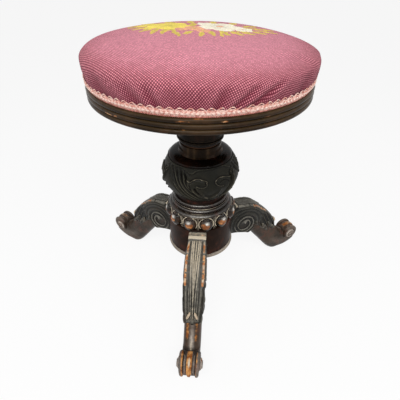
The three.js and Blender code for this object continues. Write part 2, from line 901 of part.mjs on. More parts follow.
function makeRim() {
  const rabbet = rimRadius - rimWall;
  const inner = rabbet - rimLedge;
  const ledge = boardBase - fitGap;
  const reedHeight = rimHeight / reedCount;
  const reeds = [];
  for (let i = 0; i < reedCount; i += 1) {
    const low = rimBase + reedHeight * i;
    const points = beadPoints(rimRadius - reedDepth, reedDepth, low, low + reedHeight, 3);
    reeds.push(...(i === 0 ? points : points.slice(1)));
  }
  const profile = [[inner, rimBase], ...reeds, [rabbet, boardTop], [rabbet, ledge], [inner, ledge]];
  addPart('seat_rim', turnedRing(profile, seatSegments), finishes.rimWood());
}

// The cushion's side swells from its foot to its widest, then closes over in a full crown
function sideRadius(height, inset) {
  const widest = cushionBase + cushionSideHeight;
  const below = Math.min(Math.max((widest - height) / cushionSideHeight, 0), 1);
  return cushionRadius - inset - (cushionRadius - cushionFootRadius) * below * below;
}

function cushionProfile(inset, sideSteps, crownSteps) {
  const widest = cushionBase + cushionSideHeight;
  const points = [];
  for (let i = 0; i < sideSteps; i += 1) {
    const height = cushionBase + (cushionSideHeight * i) / sideSteps;
    points.push([sideRadius(height, inset), height]);
  }
  for (let i = 0; i <= crownSteps; i += 1) {
    const angle = (Math.PI / 2) * (i / crownSteps);
    const across = Math.max(Math.cos(angle), 0) ** crownFlatness;
    const up = Math.sin(angle) ** crownFullness;
    const radius = i === crownSteps ? 0 : (cushionRadius - inset) * across;
    points.push([radius, widest + (cushionCrownHeight - inset) * up]);
  }
  return points;
}

function makeUpholstery() {
  const inner = cushionProfile(coverThickness, 2, 6).reverse();
  const cover = turnedRing([...cushionProfile(0, 3, 8), ...inner], seatSegments);
  addPart('needlework_cover', cover, finishes.needlework());

  const pad = cushionProfile(coverThickness + fitGap, 2, 6);
  addPart('stuffing_pad', turned([[0, cushionBase], ...pad], seatSegments), finishes.stuffing());

  const heights = [0, 0.5, 1].map((share) => cushionBase + braidHeight * share);
  const back = heights.map((height) => [sideRadius(height, -fitGap), height]);
  const face = heights.map((height) => [sideRadius(height, -fitGap - braidThickness), height]);
  addPart('gimp_braid', turnedRing([...face, ...back.reverse()], seatSegments), finishes.braid());
}

// An iron plate of three arms under the drum, let into the leg heads
function makeTripodPlate() {
  const outline = [];
  const half = plateArmWidth / 2;
  const root = Math.sqrt(plateHubRadius ** 2 - half ** 2);
  const tipSteps = 4;
  legTurns.forEach((turn) => {
    const arm = [[root, -half]];
    for (let i = 0; i <= tipSteps; i += 1) {
      const angle = -Math.PI / 2 + (Math.PI * i) / tipSteps;
      arm.push([plateArmReach - half + half * Math.cos(angle), half * Math.sin(angle)]);
    }
    arm.push([root, half]);
    const middle = turn + Math.PI / legCount;
    arm.forEach(([x, y]) => {
      outline.push(new THREE.Vector2(
        x * Math.cos(turn) - y * Math.sin(turn),
        x * Math.sin(turn) + y * Math.cos(turn),
      ));
    });
    outline.push(new THREE.Vector2(plateHubRadius * Math.cos(middle), plateHubRadius * Math.sin(middle)));
  });
  const plate = new THREE.ExtrudeGeometry(new THREE.Shape(outline), {
    depth: plateThickness,
    bevelEnabled: false,
  });
  plate.translate(0, 0, plateBase);
  const places = [];
  legTurns.forEach((turn) => tripodScrewRadii.forEach((radius) => {
    places.push({ x: radius * Math.cos(turn), y: radius * Math.sin(turn) });
  }));
  const hole = screwHole(tripodScrew).rotateX(Math.PI);
  const holes = places.map(({ x, y }) => upright(hole, x, y, plateBase + tripodScrew.length));
  addPart('tripod_plate', cut(plate, ...holes), finishes.iron());
  places.forEach(({ x, y }, i) => {
    const place = { x, y, z: plateBase + tripodScrew.length, tilt: Math.PI };
    addPart(`tripod_screw_${i + 1}`, screw(tripodScrew), finishes.steel(), place);
  });
}

makeLegs();
makeDrum();
makeBossRing();
makeMoulding();
makeVase();
makeNut();
makeTripodPlate();
makeThrustWasher();
makeSpindle();
makeStop();
makeFlange();
makeSeatBoss();
makeBoard();
makeRim();
makeUpholstery();

const bounds = new THREE.Box3().setFromObject(stool, true);
const middle = bounds.getCenter(new THREE.Vector3());
stool.position.set(-middle.x, -middle.y, -bounds.min.z);
stool.updateMatrixWorld(true);

export default stool;
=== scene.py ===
# A revolving piano stool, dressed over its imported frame: needlework seat, turned and carved column,
# scrolled legs and ironwork, on a plain pale stage. Metres, +Z up.

import json
import math

import bpy
import numpy as np
from bpy.props import FloatProperty, FloatVectorProperty, IntProperty, PointerProperty
from mathutils import Euler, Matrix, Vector


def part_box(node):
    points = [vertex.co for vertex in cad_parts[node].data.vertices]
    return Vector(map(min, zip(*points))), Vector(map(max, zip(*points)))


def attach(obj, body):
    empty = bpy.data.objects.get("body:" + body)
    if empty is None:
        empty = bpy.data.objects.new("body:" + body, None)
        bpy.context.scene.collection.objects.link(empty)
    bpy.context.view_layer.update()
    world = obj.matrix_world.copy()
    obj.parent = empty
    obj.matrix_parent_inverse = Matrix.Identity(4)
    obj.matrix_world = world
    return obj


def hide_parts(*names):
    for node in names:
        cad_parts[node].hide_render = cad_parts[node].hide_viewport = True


bl_info = {
    "name": "Revolving piano stool",
    "version": (1, 0, 0),
    "blender": (4, 5, 0),
    "location": "View3D > Sidebar > Stool",
    "description": "Needlework seat, turned column, carved legs and ironwork for a revolving piano stool",
    "category": "Object",
}

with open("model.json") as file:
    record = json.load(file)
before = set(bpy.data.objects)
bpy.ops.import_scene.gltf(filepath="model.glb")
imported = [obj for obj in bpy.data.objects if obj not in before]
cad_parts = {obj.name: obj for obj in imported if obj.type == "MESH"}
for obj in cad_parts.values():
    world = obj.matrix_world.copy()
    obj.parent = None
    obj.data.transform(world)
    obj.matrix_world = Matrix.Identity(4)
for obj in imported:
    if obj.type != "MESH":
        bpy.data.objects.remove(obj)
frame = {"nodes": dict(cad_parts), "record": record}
MM = 0.001


def low(node):
    """Lowest height of a node."""
    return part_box(node)[0].z


def high(node):
    """Highest height of a node."""
    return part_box(node)[1].z


def radius(node):
    """Half of a node's width."""
    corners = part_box(node)
    return (corners[1].x - corners[0].x) / 2


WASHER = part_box("thrust_washer")
AXIS = np.array([(WASHER[0].x + WASHER[1].x) / 2, (WASHER[0].y + WASHER[1].y) / 2, 0.0])
LEG_TURNS = {"leg_front": -90.0, "leg_right": 30.0, "leg_left": 150.0}


def paint(red, green, blue):
    """A colour as seen, 0 to 255, as the linear values that shaders take."""
    return tuple(
        value / 255 / 12.92 if value < 10.3 else ((value / 255 + 0.055) / 1.055) ** 2.4
        for value in (red, green, blue)
    )


def colour(name, description, seen):
    """A colour to choose, with its default as seen, 0 to 255."""
    return FloatVectorProperty(
        name=name, description=description, subtype="COLOR", size=3, min=0, max=1, default=paint(*seen)
    )


def length(name, description, default):
    """A length to choose, in metres."""
    return FloatProperty(
        name=name, description=description, unit="LENGTH", min=0, default=default, precision=4)


def shaded(tone, share):
    """A colour brought down to a share of its light."""
    return tuple(value * share for value in tone)


# Sizes and colours that a user would change

class SeatLook(bpy.types.PropertyGroup):
    stitch: length("Stitch", "Pitch of the canvas stitches", 2.5 * MM)
    stitch_height: length("Stitch height", "How far each stitch stands up", 0.5 * MM)
    lean: length("Lean", "How far the crown has shifted to one side", 3.2 * MM)
    pucker: length("Pucker", "Depth of the gathers above the braid", 3.0 * MM)
    scallops: IntProperty(name="Scallops", description="Loops of the braid all round", min=8, default=91)
    rose: colour("Rose", "Ground of the needlework", (222, 140, 152))
    # Pale rose and wine are laid by the fade mark: faded wool on the crown, and painted shade low on the side
    # and in the gathers.
    pale_rose: colour("Pale rose", "Faded ground on the crown", (246, 166, 184))
    wine: colour("Wine", "Ground in the gathers and low on the side", (176, 98, 110))
    pit: colour("Pit", "Shadow between the stitches", (104, 40, 54))
    lemon: colour("Lemon", "Yellow flower", (246, 226, 96))
    cream: colour("Cream", "White flower", (250, 244, 222))
    peach: colour("Peach", "Small bloom and the white flower's heart", (240, 178, 140))
    leaf: colour("Leaf", "Leaves of the posy", (220, 198, 84))
    braid: colour("Braid", "Light thread of the braid", (250, 214, 200))
    braid_knot: colour("Braid knot", "Pale knots along the braid", (246, 216, 204))
    braid_shade: colour("Braid shade", "Salmon thread of the braid", (214, 132, 116))


class WoodLook(bpy.types.PropertyGroup):
    deep: colour("Deep", "Darkest stain", (20, 16, 14))
    warm: colour("Warm", "Wood where the stain has thinned", (168, 100, 54))
    bare: colour("Bare", "Bare wood where the stain has gone", (214, 164, 116))
    red: colour("Red", "Red-brown polish", (88, 44, 32))
    # Silver is the colour of the painted sheen: light on raised and upward faces, painted into the wood.
    silver: colour("Silver", "Rubbed bloom on raised carving", (138, 134, 124))
    # Cream colours worn edges, and with the pale mark also painted highlights on the legs and on the bulb's
    # crescent.
    cream: colour("Cream", "Pale lines on sharp edges", (204, 190, 166))


class StageLook(bpy.types.PropertyGroup):
    lens: FloatProperty(name="Lens", description="Focal length in millimetres", min=1, default=29.52)
    key: FloatProperty(name="Key", description="Power of the front lamp", unit="POWER", default=17.0)
    side: FloatProperty(name="Side", description="Power of each side lamp", unit="POWER", default=3.0)
    sky: FloatProperty(name="Sky", description="Strength of the even light all round", default=0.34)
    floor: colour("Floor", "Paper under the stool", (250, 250, 250))


# Meshes from rows of points

def beside(*parts):
    """Grids set side by side, each row going on through all of them."""
    return np.concatenate(parts, axis=1)


def full_turn(count):
    """Angles of evenly spaced places all round."""
    return np.linspace(0, 2 * math.pi, count, endpoint=False)


def hump(value, width):
    """One at nought, falling smoothly away to nothing within about two widths."""
    return np.exp(-((value / width) ** 2))


def row_faces(rows, across, around, along):
    """Four-sided faces between rows of points, closed around or along where asked."""
    down_count = rows if along else rows - 1
    across_count = across if around else across - 1
    i, j = np.meshgrid(np.arange(down_count), np.arange(across_count), indexing="ij")
    up = (i + 1) % rows
    side = (j + 1) % across
    faces = np.stack([i * across + j, i * across + side, up * across + side, up * across + j], axis=-1)
    return faces.reshape(-1, 4)


def shifted(points, step, axis, closed):
    """Each point's neighbour some steps on, held at the ends where the rows aren't closed."""
    if closed:
        return np.roll(points, -step, axis=axis)
    index = np.clip(np.arange(points.shape[axis]) + step, 0, points.shape[axis] - 1)
    return np.take(points, index, axis=axis)


def row_normals(grid, around, along):
    """The way that each point of the rows faces."""
    across = shifted(grid, 1, 1, around) - shifted(grid, -1, 1, around)
    down = shifted(grid, 1, 0, along) - shifted(grid, -1, 0, along)
    normal = np.cross(across, down)
    size = np.linalg.norm(normal, axis=-1, keepdims=True)
    return normal / np.maximum(size, 1e-12)


def mark_points(mesh, name, values):
    """Stores one number for each point of a mesh."""
    layer = mesh.attributes.new(name, "FLOAT", "POINT")
    layer.data.foreach_set("value", np.ravel(values).astype(np.float32))


def bend_of(grid, normal, around, along, reach):
    """How far each point stands above (+) or lies below (-) its neighbours at about the reach, as a share."""
    total = np.zeros(grid.shape[:2])
    for axis, closed in ((1, around), (0, along)):
        near = np.linalg.norm(shifted(grid, 1, axis, closed) - grid, axis=-1)
        step = max(1, int(round(reach / max(np.median(near), 1e-6))))
        first = shifted(grid, step, axis, closed)
        last = shifted(grid, -step, axis, closed)
        span = np.linalg.norm(first - grid, axis=-1) + np.linalg.norm(last - grid, axis=-1)
        above = np.sum((grid - (first + last) / 2) * normal, axis=-1)
        total += above / np.maximum(span, 1e-9)
    return total


class Piece:
    """Gathers shells of rows into one mesh, with its wear, grain, painted sheen and painted shade at each
    point.
    """

    def __init__(self):
        self.points = []
        self.faces = []
        self.marks = {}
        self.count = 0

    def add(self, grid, along=False, caps=False, reach=0.8 * MM, bare=0.0, pale=0.0, rub=None, dirt=1.0):
        """Adds rows that close around, and along where asked, or with a cap at each end."""
        grid = np.asarray(grid, float)
        rows, across = grid.shape[:2]
        normal = row_normals(grid, True, along)
        faces = row_faces(rows, across, True, along)
        points = grid.reshape(-1, 3)
        local = points - points.mean(axis=0)
        first, second, third, fourth = (local[faces[:, k]] for k in range(4))
        volume = np.einsum("ij,ij->i", first, np.cross(second, third)).sum()
        volume += np.einsum("ij,ij->i", first, np.cross(third, fourth)).sum()
        faces = faces.tolist()
        if caps:
            faces.append(list(range(across))[::-1])
            faces.append([(rows - 1) * across + k for k in range(across)])
        if volume < 0:
            faces = [face[::-1] for face in faces]
        outward = normal if volume >= 0 else -normal
        bend = bend_of(grid, outward, True, along, reach)
        sink = bend + bend_of(grid, outward, True, along, reach * 3)
        steps_across = np.linalg.norm(shifted(grid, 1, 1, True) - grid, axis=-1)
        steps_along = np.median(np.linalg.norm(shifted(grid, 1, 0, along) - grid, axis=-1), axis=1)
        # The hollow mark sets where painted shade darkens the recesses; the share given with it sets how
        # much.
        marks = {
            "ridge": np.clip(bend, 0, 1),
            "hollow": np.clip(-sink, 0, 1) * dirt,
            # Unless given, the painted sheen follows how far each face looks upward: painted light from
            # above.
            "rub": np.clip(outward[..., 2], 0, 1) if rub is None else rub,
            "along": np.cumsum(steps_along)[:, None],
            "across": np.cumsum(steps_across, axis=1),
            "bare": bare,
            "pale": pale,
        }
        for mark, values in marks.items():
            self.marks.setdefault(mark, []).append(np.broadcast_to(values, grid.shape[:2]).ravel())
        self.points.append(points)
        self.faces.extend([[corner + self.count for corner in face] for face in faces])
        self.count += len(points)

    def make(self, name, material, body, slot, *stands_for):
        """Makes the piece's mesh and its marks, and places it."""
        mesh = bpy.data.meshes.new(name)
        mesh.from_pydata(np.concatenate(self.points).tolist(), [], self.faces)
        mesh.polygons.foreach_set("use_smooth", np.ones(len(mesh.polygons), bool))
        for mark, values in self.marks.items():
            mark_points(mesh, mark, np.concatenate(values))
        mesh.update()
        return place(name, mesh, material, body, slot, *stands_for)


def place(name, mesh, material, body, slot, *stands_for):
    """Puts a mesh into the scene on its body, with its finish and the nodes that it stands for."""
    piece = bpy.data.objects.new(name, mesh)
    bpy.context.scene.collection.objects.link(piece)
    mesh.materials.append(material)
    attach(piece, body)
    if stands_for:
        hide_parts(*stands_for)
    return piece


def dress(node, material):
    """Gives a node of the frame its finish, and leaves its shape."""
    mesh = frame["nodes"][node].data
    mesh.materials.clear()
    mesh.materials.append(material)


def run_of(path):
    """Length along a path from its first point to each of its points."""
    return np.concatenate([[0], np.cumsum(np.linalg.norm(np.diff(path, axis=0), axis=1))])


def resampled(path, step):
    """A path of points at an even step, with its corners kept."""
    path = np.asarray(path, float)
    legs = np.linalg.norm(np.diff(path, axis=0), axis=1)
    out = [path[0]]
    for start, end, leg in zip(path[:-1], path[1:], legs):
        count = max(1, int(round(leg / step)))
        for k in range(1, count + 1):
            out.append(start + (end - start) * k / count)
    return np.array(out)


def flowing(points, count):
    """A smooth path through points, evenly spaced."""
    points = np.asarray(points, float)
    ends = np.vstack([2 * points[0] - points[1], points, 2 * points[-1] - points[-2]])
    fine = []
    for k in range(1, len(ends) - 2):
        a, b, c, d = ends[k - 1], ends[k], ends[k + 1], ends[k + 2]
        for t in np.linspace(0, 1, 16, endpoint=False):
            square, cube = 2 * a - 5 * b + 4 * c - d, 3 * b - a - 3 * c + d
            fine.append(0.5 * (2 * b + (c - a) * t + square * t**2 + cube * t**3))
    fine.append(points[-1])
    fine = np.array(fine)
    run = run_of(fine)
    want = np.linspace(0, run[-1], count)
    return np.stack([np.interp(want, run, fine[:, k]) for k in range(fine.shape[1])], axis=1)


def turned(name, material, body, slot, stands_for, profile, segments, relief=0.0, **wear_and_light):
    """A turned piece, made and placed."""
    piece = Piece()
    # The marks passed on carry wear, pale lines, painted sheen and painted shade.
    piece.add(turned_rows(profile, segments, relief), **wear_and_light)
    piece.make(name, material, body, slot, *stands_for)


def bead(reach, stand, bottom, top, steps=12):
    """Half-round of a bead between two heights, out to a radius."""
    angle = np.linspace(-math.pi / 2, math.pi / 2, steps + 1)
    height = (bottom + top) / 2 + (top - bottom) / 2 * np.sin(angle)
    return np.stack([reach - stand + stand * np.cos(angle), height], axis=1)


def softened(profile, radius_of_corner, step):
    """A profile at an even step, with its corners eased by averaging along it."""
    path = resampled(profile, step)
    passes = max(1, int(round((radius_of_corner / step) ** 2)))
    for _ in range(passes):
        inner = path[1:-1] * 0.5 + (path[:-2] + path[2:]) * 0.25
        path = np.vstack([path[:1], inner, path[-1:]])
    return path


def turned_rows(profile, segments, relief=0.0):
    """Rows of a surface turned round the column's axis, with relief that stands out from it."""
    profile = np.asarray(profile, float)
    angle = full_turn(segments)
    rise = np.gradient(profile, axis=0)
    size = np.maximum(np.linalg.norm(rise, axis=1), 1e-12)
    out = np.stack([rise[:, 1] / size, -rise[:, 0] / size], axis=1)
    stand = relief + np.zeros((len(profile), segments))
    reach = profile[:, 0, None] + out[:, 0, None] * stand
    height = profile[:, 1, None] + out[:, 1, None] * stand
    grid = np.stack([reach * np.cos(angle), reach * np.sin(angle), height], axis=-1)
    return grid + AXIS


def crest_of(profile):
    """How far each place of a turned profile looks up and outward, where a painted highlight is laid on a
    bead.
    """
    slope = np.gradient(profile, axis=0)
    facing = -slope[:, 0] / np.maximum(np.linalg.norm(slope, axis=1), 1e-9)
    return hump(np.abs(facing) - 0.68, 0.16)


def thirds(around):
    """Angle from the nearest of the three legs."""
    return (around + math.pi / 2 + math.pi / 3) % (2 * math.pi / 3) - math.pi / 3


def smoothstep(value, start, end):
    """Nought up to the start, one from the end on, and smooth between them."""
    share = np.clip((value - start) / (end - start), 0, 1)
    return share * share * (3 - 2 * share)


def stroke_distance(across, up, points):
    """Distance from each place to a stroke, with the share of the way along it."""
    best = np.full(np.broadcast(across, up).shape, 1e9)
    share = np.zeros_like(best)
    points = np.asarray(points, float)
    run = run_of(points)
    for k in range(len(points) - 1):
        ax, ay = points[k]
        dx, dy = points[k + 1] - points[k]
        size = dx * dx + dy * dy
        t = np.clip(((across - ax) * dx + (up - ay) * dy) / max(size, 1e-15), 0, 1)
        gap = np.hypot(across - ax - t * dx, up - ay - t * dy)
        closer = gap < best
        best = np.where(closer, gap, best)
        share = np.where(closer, (run[k] + t * (run[k + 1] - run[k])) / run[-1], share)
    return best, share


# Materials

def add_node(tree, kind, inputs=None, **settings):
    """Adds a node with its settings, and links or fills its inputs."""
    node = tree.nodes.new("ShaderNode" + kind)
    for key, value in settings.items():
        setattr(node, key, value)
    for key, value in (inputs or {}).items():
        socket = node.inputs[key]
        if isinstance(value, bpy.types.NodeSocket):
            tree.links.new(value, socket)
        elif socket.type == "RGBA":
            socket.default_value = (*tuple(value)[:3], 1.0)
        else:
            socket.default_value = value
    return node


class Weave:
    """One material's nodes, added and joined in one call each."""

    def __init__(self, name, **values):
        self.material = bpy.data.materials.new(name)
        self.material.use_nodes = True
        self.tree = self.material.node_tree
        self.shader = self.tree.nodes["Principled BSDF"]
        for socket, value in values.items():
            self.shader.inputs[socket.replace("_", " ")].default_value = value

    def add(self, kind, inputs=None, **settings):
        return add_node(self.tree, kind, inputs, **settings)

    def mark(self, name):
        return self.add("Attribute", attribute_name=name).outputs["Fac"]

    def math(self, operation, first, second=0.0, third=0.0):
        return self.add("Math", {0: first, 1: second, 2: third}, operation=operation).outputs[0]

    def times(self, first, second):
        return self.math("MULTIPLY", first, second)

    def plus(self, first, second):
        return self.math("ADD", first, second)

    def minus(self, first, second):
        return self.math("SUBTRACT", first, second)

    def scaled(self, value, factor, offset):
        return self.math("MULTIPLY_ADD", value, factor, offset)

    def noise(self, scale, detail=4.0, roughness=0.55, vector=None, distortion=0.0):
        inputs = {"Scale": scale, "Detail": detail, "Roughness": roughness, "Distortion": distortion}
        inputs["Vector"] = vector if vector is not None else self.add("TexCoord").outputs["Object"]
        return self.add("TexNoise", inputs).outputs["Fac"]

    def step(self, value, start, end, low_value=0.0, high_value=1.0):
        inputs = {0: value, 1: start, 2: end, 3: low_value, 4: high_value}
        return self.add("MapRange", inputs, interpolation_type="SMOOTHSTEP").outputs[0]

    def mixed(self, share, first, second, blend_type="MIX"):
        inputs = {0: share, 6: first, 7: second}
        return self.add("Mix", inputs, data_type="RGBA", blend_type=blend_type).outputs[2]

    def joined(self, x, y):
        return self.add("CombineXYZ", {0: x, 1: y}).outputs[0]

    def finish(self, tone, rough):
        """Links the colour and the roughness."""
        self.tree.links.new(tone, self.shader.inputs["Base Color"])
        self.tree.links.new(rough, self.shader.inputs["Roughness"])
        return self.material

    def bump(self, height, distance, strength, under=None):
        inputs = {"Height": height, "Distance": distance, "Strength": strength}
        if under is not None:
            inputs["Normal"] = under
        normal = self.add("Bump", inputs).outputs[0]
        self.tree.links.new(normal, self.shader.inputs["Normal"])
        return normal


def wood(name, look, base, second, gloss=(0.25, 0.45), streaks=0.4, warm=0.0, rub=0.0, painted_sheen_tone=None,
         edge=0.0, edge_from=0.2, edge_tone=None, hollow_shade=0.7, shine=0.12, worn=None):
    """Stained and polished wood: cloudy stain, grain, worn edges, a painted sheen and painted shade in its
    hollows.
    """
    weave = Weave(name, Specular_IOR_Level=shine)
    clouds = weave.noise(24.0, 5.0)
    fine = weave.noise(210.0)
    across, along = weave.times(weave.mark("across"), 1100.0), weave.times(weave.mark("along"), 60.0)
    grain = weave.noise(1.0, 3.0, 0.6, weave.joined(across, along), 0.4)
    tone = weave.mixed(weave.step(clouds, 0.38, 0.64), paint(*base), paint(*second))
    darker = weave.mixed(1.0, tone, (0.4, 0.37, 0.36), "MULTIPLY")
    tone = weave.mixed(weave.times(weave.step(grain, 0.45, 0.72), streaks), tone, darker)
    if warm:
        patch = weave.step(weave.noise(48.0, 5.0, 0.65), 0.52, 0.68)
        tone = weave.mixed(weave.times(patch, warm), tone, look.red)
    # Painted sheen: a lighter tone laid where the wood would catch the light, standing in for highlights.
    if rub:
        sheen_share = weave.times(weave.mark("rub"), weave.step(fine, 0.3, 0.65, 0.55, 1.0))
        tone = weave.mixed(weave.times(sheen_share, rub), tone, paint(*painted_sheen_tone) if painted_sheen_tone else look.silver)
    # Painted shade: hollows darkened towards black, where shade would fall.
    hollow = weave.step(weave.mark("hollow"), 0.04, 0.3)
    tone = weave.mixed(weave.times(hollow, hollow_shade), tone, shaded(look.deep, 0.5))
    patchy = weave.scaled(weave.noise(110.0), 0.5, weave.times(fine, 0.5))
    ragged = weave.scaled(patchy, 1.3, -0.65)
    warm_tone, bare_tone = (paint(*worn[0]), paint(*worn[1])) if worn else (look.warm, look.bare)
    bright_wood = weave.mixed(weave.step(weave.noise(150.0), 0.4, 0.62), warm_tone, bare_tone)
    tone = weave.mixed(weave.step(weave.plus(weave.mark("bare"), ragged), 0.3, 0.6), tone, bright_wood)
    # Pale marks: worn cream lines, and in places a painted highlight.
    lit = weave.step(weave.plus(weave.mark("pale"), weave.times(ragged, 0.6)), 0.2, 0.75)
    tone = weave.mixed(lit, tone, look.cream)
    if edge:
        rim = weave.plus(weave.mark("ridge"), weave.times(ragged, 0.12))
        line = weave.times(weave.step(rim, edge_from, edge_from + 0.1), edge)
        tone = weave.mixed(line, tone, paint(*edge_tone))
    weave.bump(fine, 0.12 * MM, 0.3, weave.bump(grain, 0.1 * MM, 0.45))
    return weave.finish(tone, weave.step(clouds, 0.3, 0.7, *gloss))


def metal(name, base, second, gloss, metallic):
    """Iron or steel with a mottled, slightly tarnished face."""
    weave = Weave(name, Metallic=metallic)
    clouds = weave.noise(120.0, 5.0)
    spots = weave.noise(720.0, 3.0)
    tone = weave.mixed(weave.step(clouds, 0.35, 0.65), paint(*base), paint(*second))
    tone = weave.mixed(weave.step(spots, 0.62, 0.75), tone, shaded(paint(*base), 0.5))
    weave.bump(spots, 0.08 * MM, 0.6)
    return weave.finish(tone, weave.step(clouds, 0.3, 0.7, *gloss))


# Seat

CUSHION_TUCK = 5.8 * MM  # how far the cover's foot is drawn in under its widest line
CUSHION_SIDE = 29.5 * MM  # height of the widest line above the cover's foot
CROWN_ACROSS = 1.82  # how full the crown's section is across, where 2 would be an ellipse
CROWN_UP = 2.36  # and how full it is upward

# Where the cover is gathered above the braid: degrees round the seat, width in degrees, depth as a share of
# the deepest, and how far it leans as it climbs
PUCKERS = [
    (-100, 2.0, 0.9, -6), (-106, 3.0, 0.5, -9), (-81, 1.9, 0.9, 5), (-76.5, 1.7, 0.9, 12),
    (-71.5, 2.0, 0.8, 18), (-66, 3.0, 0.4, 10), (-126, 4.0, 0.5, -8), (-150, 4.5, 0.7, -6),
    (-42, 4.0, 0.5, 8), (-14, 4.5, 0.8, 5), (14, 4.0, 0.8, -4), (45, 5.0, 0.9, 5),
    (72, 4.0, 0.7, -5), (101, 5.0, 0.9, 4), (128, 4.0, 0.8, -4), (157, 5.0, 0.8, 5),
    (-171, 4.0, 0.7, -5),
]


def cushion_profile():
    """Radii and heights from the braid's foot over the side to the middle of the crown."""
    base, top = low("needlework_cover"), high("needlework_cover")
    widest = base + CUSHION_SIDE
    reach = radius("needlework_cover")
    below = np.linspace(0, 1, 26)
    side = np.stack([reach - CUSHION_TUCK * (1 - below) ** 2, base + (widest - base) * below], axis=1)
    angle = np.linspace(0, math.pi / 2, 70)[1:]
    crown_reach = reach * np.maximum(np.cos(angle), 0) ** (2 / CROWN_ACROSS)
    crown = np.stack([crown_reach, widest + (top - widest) * np.sin(angle) ** (2 / CROWN_UP)], axis=1)
    crown[-1, 0] = 0.0
    path = resampled(np.vstack([side, crown]), 2.0 * MM)
    path[-1, 0] = 0.02 * MM
    return path, widest


def cushion_surface(look, segments=360):
    """The cushion's rows, each point's place on the flat canvas, its level and its depth in the gathers."""
    path, widest = cushion_profile()
    angle = full_turn(segments)
    level = (path[:, 1] - path[0, 1]) / (widest - path[0, 1])
    gathers = np.zeros((len(path), segments))
    climb = np.clip(level, 0, 1) ** 0.6 * np.clip(1.25 - level, 0, 1) * 1.6
    for centre, width, depth, slant in PUCKERS:
        off = np.degrees(np.angle(np.exp(1j * (angle - math.radians(centre)))))
        off = off[None, :] - slant * level[:, None]
        crease = hump(off, width) - 0.5 * hump(np.abs(off) - width * 2, width * 1.1)
        gathers += depth * crease * climb[:, None]
    small = 0.5 * np.sin(angle * 29 + 1.3) + 0.5 * np.sin(angle * 47 + 0.4)
    gathers += 0.16 * small[None, :] * (np.clip(0.9 - level, 0, 1))[:, None]
    reach = path[:, 0, None] - look.pucker * gathers
    across, back = reach * np.cos(angle), reach * np.sin(angle)
    crown = smoothstep(level, 0.9, 1.5)[:, None]
    share = across / path[:, 0].max()
    height = path[:, 1, None] - look.lean * (share + 0.6 * share * (1 - np.abs(share))) * crown
    height = height + 0.8 * MM * np.sin(across * 19 + 0.6) * np.sin(back * 23 - 0.9) * crown
    grid = np.stack([across, back, height], axis=-1) + AXIS
    run = run_of(path[::-1])[::-1]
    return grid, run[:, None] * np.cos(angle), run[:, None] * np.sin(angle), level, gathers


def needlework(look):
    """Canvas work: a slanting lattice of raised stitches, each its own shade, and wine shadow between."""
    weave = Weave("rose_needlework", Sheen_Weight=0.06, Sheen_Roughness=0.5, Specular_IOR_Level=0.08)
    pitch = 1.0 / (look.stitch * math.sqrt(2))
    wander = weave.scaled(weave.noise(9.0, 2.0), 0.03, -0.015)
    canvas_x = weave.plus(weave.mark("canvas_x"), wander)
    canvas_y = weave.minus(weave.mark("canvas_y"), wander)
    place_x = weave.times(weave.plus(canvas_x, canvas_y), pitch)
    place_y = weave.times(weave.minus(canvas_x, canvas_y), pitch)
    cell = weave.joined(weave.math("FLOOR", place_x), weave.math("FLOOR", place_y))
    own = weave.add("TexWhiteNoise", {"Vector": cell}, noise_dimensions="2D").outputs["Value"]
    in_x = weave.minus(weave.math("FRACT", place_x), 0.5)
    in_y = weave.minus(weave.math("FRACT", place_y), 0.5)
    far = weave.plus(weave.times(in_x, in_x), weave.times(in_y, in_y))
    # The fade mark is partly real fading of the wool on the crown and partly painted shade, darker low on the
    # side and in the gathers; it also sets the stitches' size.
    reach = weave.scaled(weave.mark("fade"), 0.16, 0.13)
    lump = weave.minus(1.0, weave.step(weave.math("DIVIDE", far, reach), 0.1, 1.0))
    shade = weave.plus(weave.mark("fade"), weave.scaled(weave.noise(26.0), 0.3, -0.15))
    tone = weave.mixed(weave.step(shade, 0.0, 0.55), look.wine, look.rose)
    tone = weave.mixed(weave.step(shade, 0.55, 1.0), tone, look.pale_rose)
    varied = weave.mixed(1.0, tone, weave.mixed(own, (0.92, 0.9, 0.9), (1.3, 1.36, 1.34)), "MULTIPLY")
    pit = weave.mixed(weave.step(shade, 0.3, 1.0), look.pit, look.wine)
    weave.bump(lump, look.stitch_height, 0.9)
    return weave.finish(weave.mixed(lump, pit, varied), weave.step(own, 0.0, 1.0, 0.82, 0.95))


def thread_cloth(name, light, dark, scale=900.0, fleck=0.0):
    """Twisted thread: fine slanting ply over a soft change of shade, with flecks where two colours cross."""
    weave = Weave(name, Sheen_Weight=0.2)
    inputs = {"Vector": weave.add("TexCoord").outputs["Object"], "Scale": scale / 6, "Distortion": 1.5}
    ply = weave.add("TexWave", inputs, bands_direction="DIAGONAL").outputs["Fac"]
    clouds = weave.noise(70.0)
    tone = weave.mixed(weave.step(clouds, 0.35, 0.65), dark, light)
    if fleck:
        crossing = weave.step(weave.noise(360.0, 2.0), fleck - 0.06, fleck + 0.06, 0.0, 0.9)
        tone = weave.mixed(crossing, light, dark)
    # Painted shade in the grooves between the plies.
    tone = weave.mixed(weave.step(ply, 0.0, 0.6, 0.45, 0.0), tone, shaded(dark, 0.55))
    weave.bump(ply, 0.2 * MM, 0.6)
    return weave.finish(tone, weave.step(clouds, 0.0, 1.0, 0.75, 0.92))


POSY_REACH = 122 * MM  # farthest stitch of the posy from the seat's middle
POSY_FIELD = 130 * MM  # the part of the crown that stitches are laid on

# Flowers of the posy in millimetres from the seat's middle: across, back, size, heart and turn
FLOWERS = {
    "peach": [(-10, 12, 15, 5, 0.2), (5, -3, 10, 4, 0.8), (-24, 2, 8, 3, 0.5)],
    "lemon": [(-47, 30, 31, 10, 0.3), (-80, 40, 15, 5, 0.9), (-70, 14, 11, 4, 0.1)],
    "cream": [(26, 36, 33, 11, 0.0), (58, 28, 16, 5, 0.6), (4, 54, 14, 5, 1.2)],
}

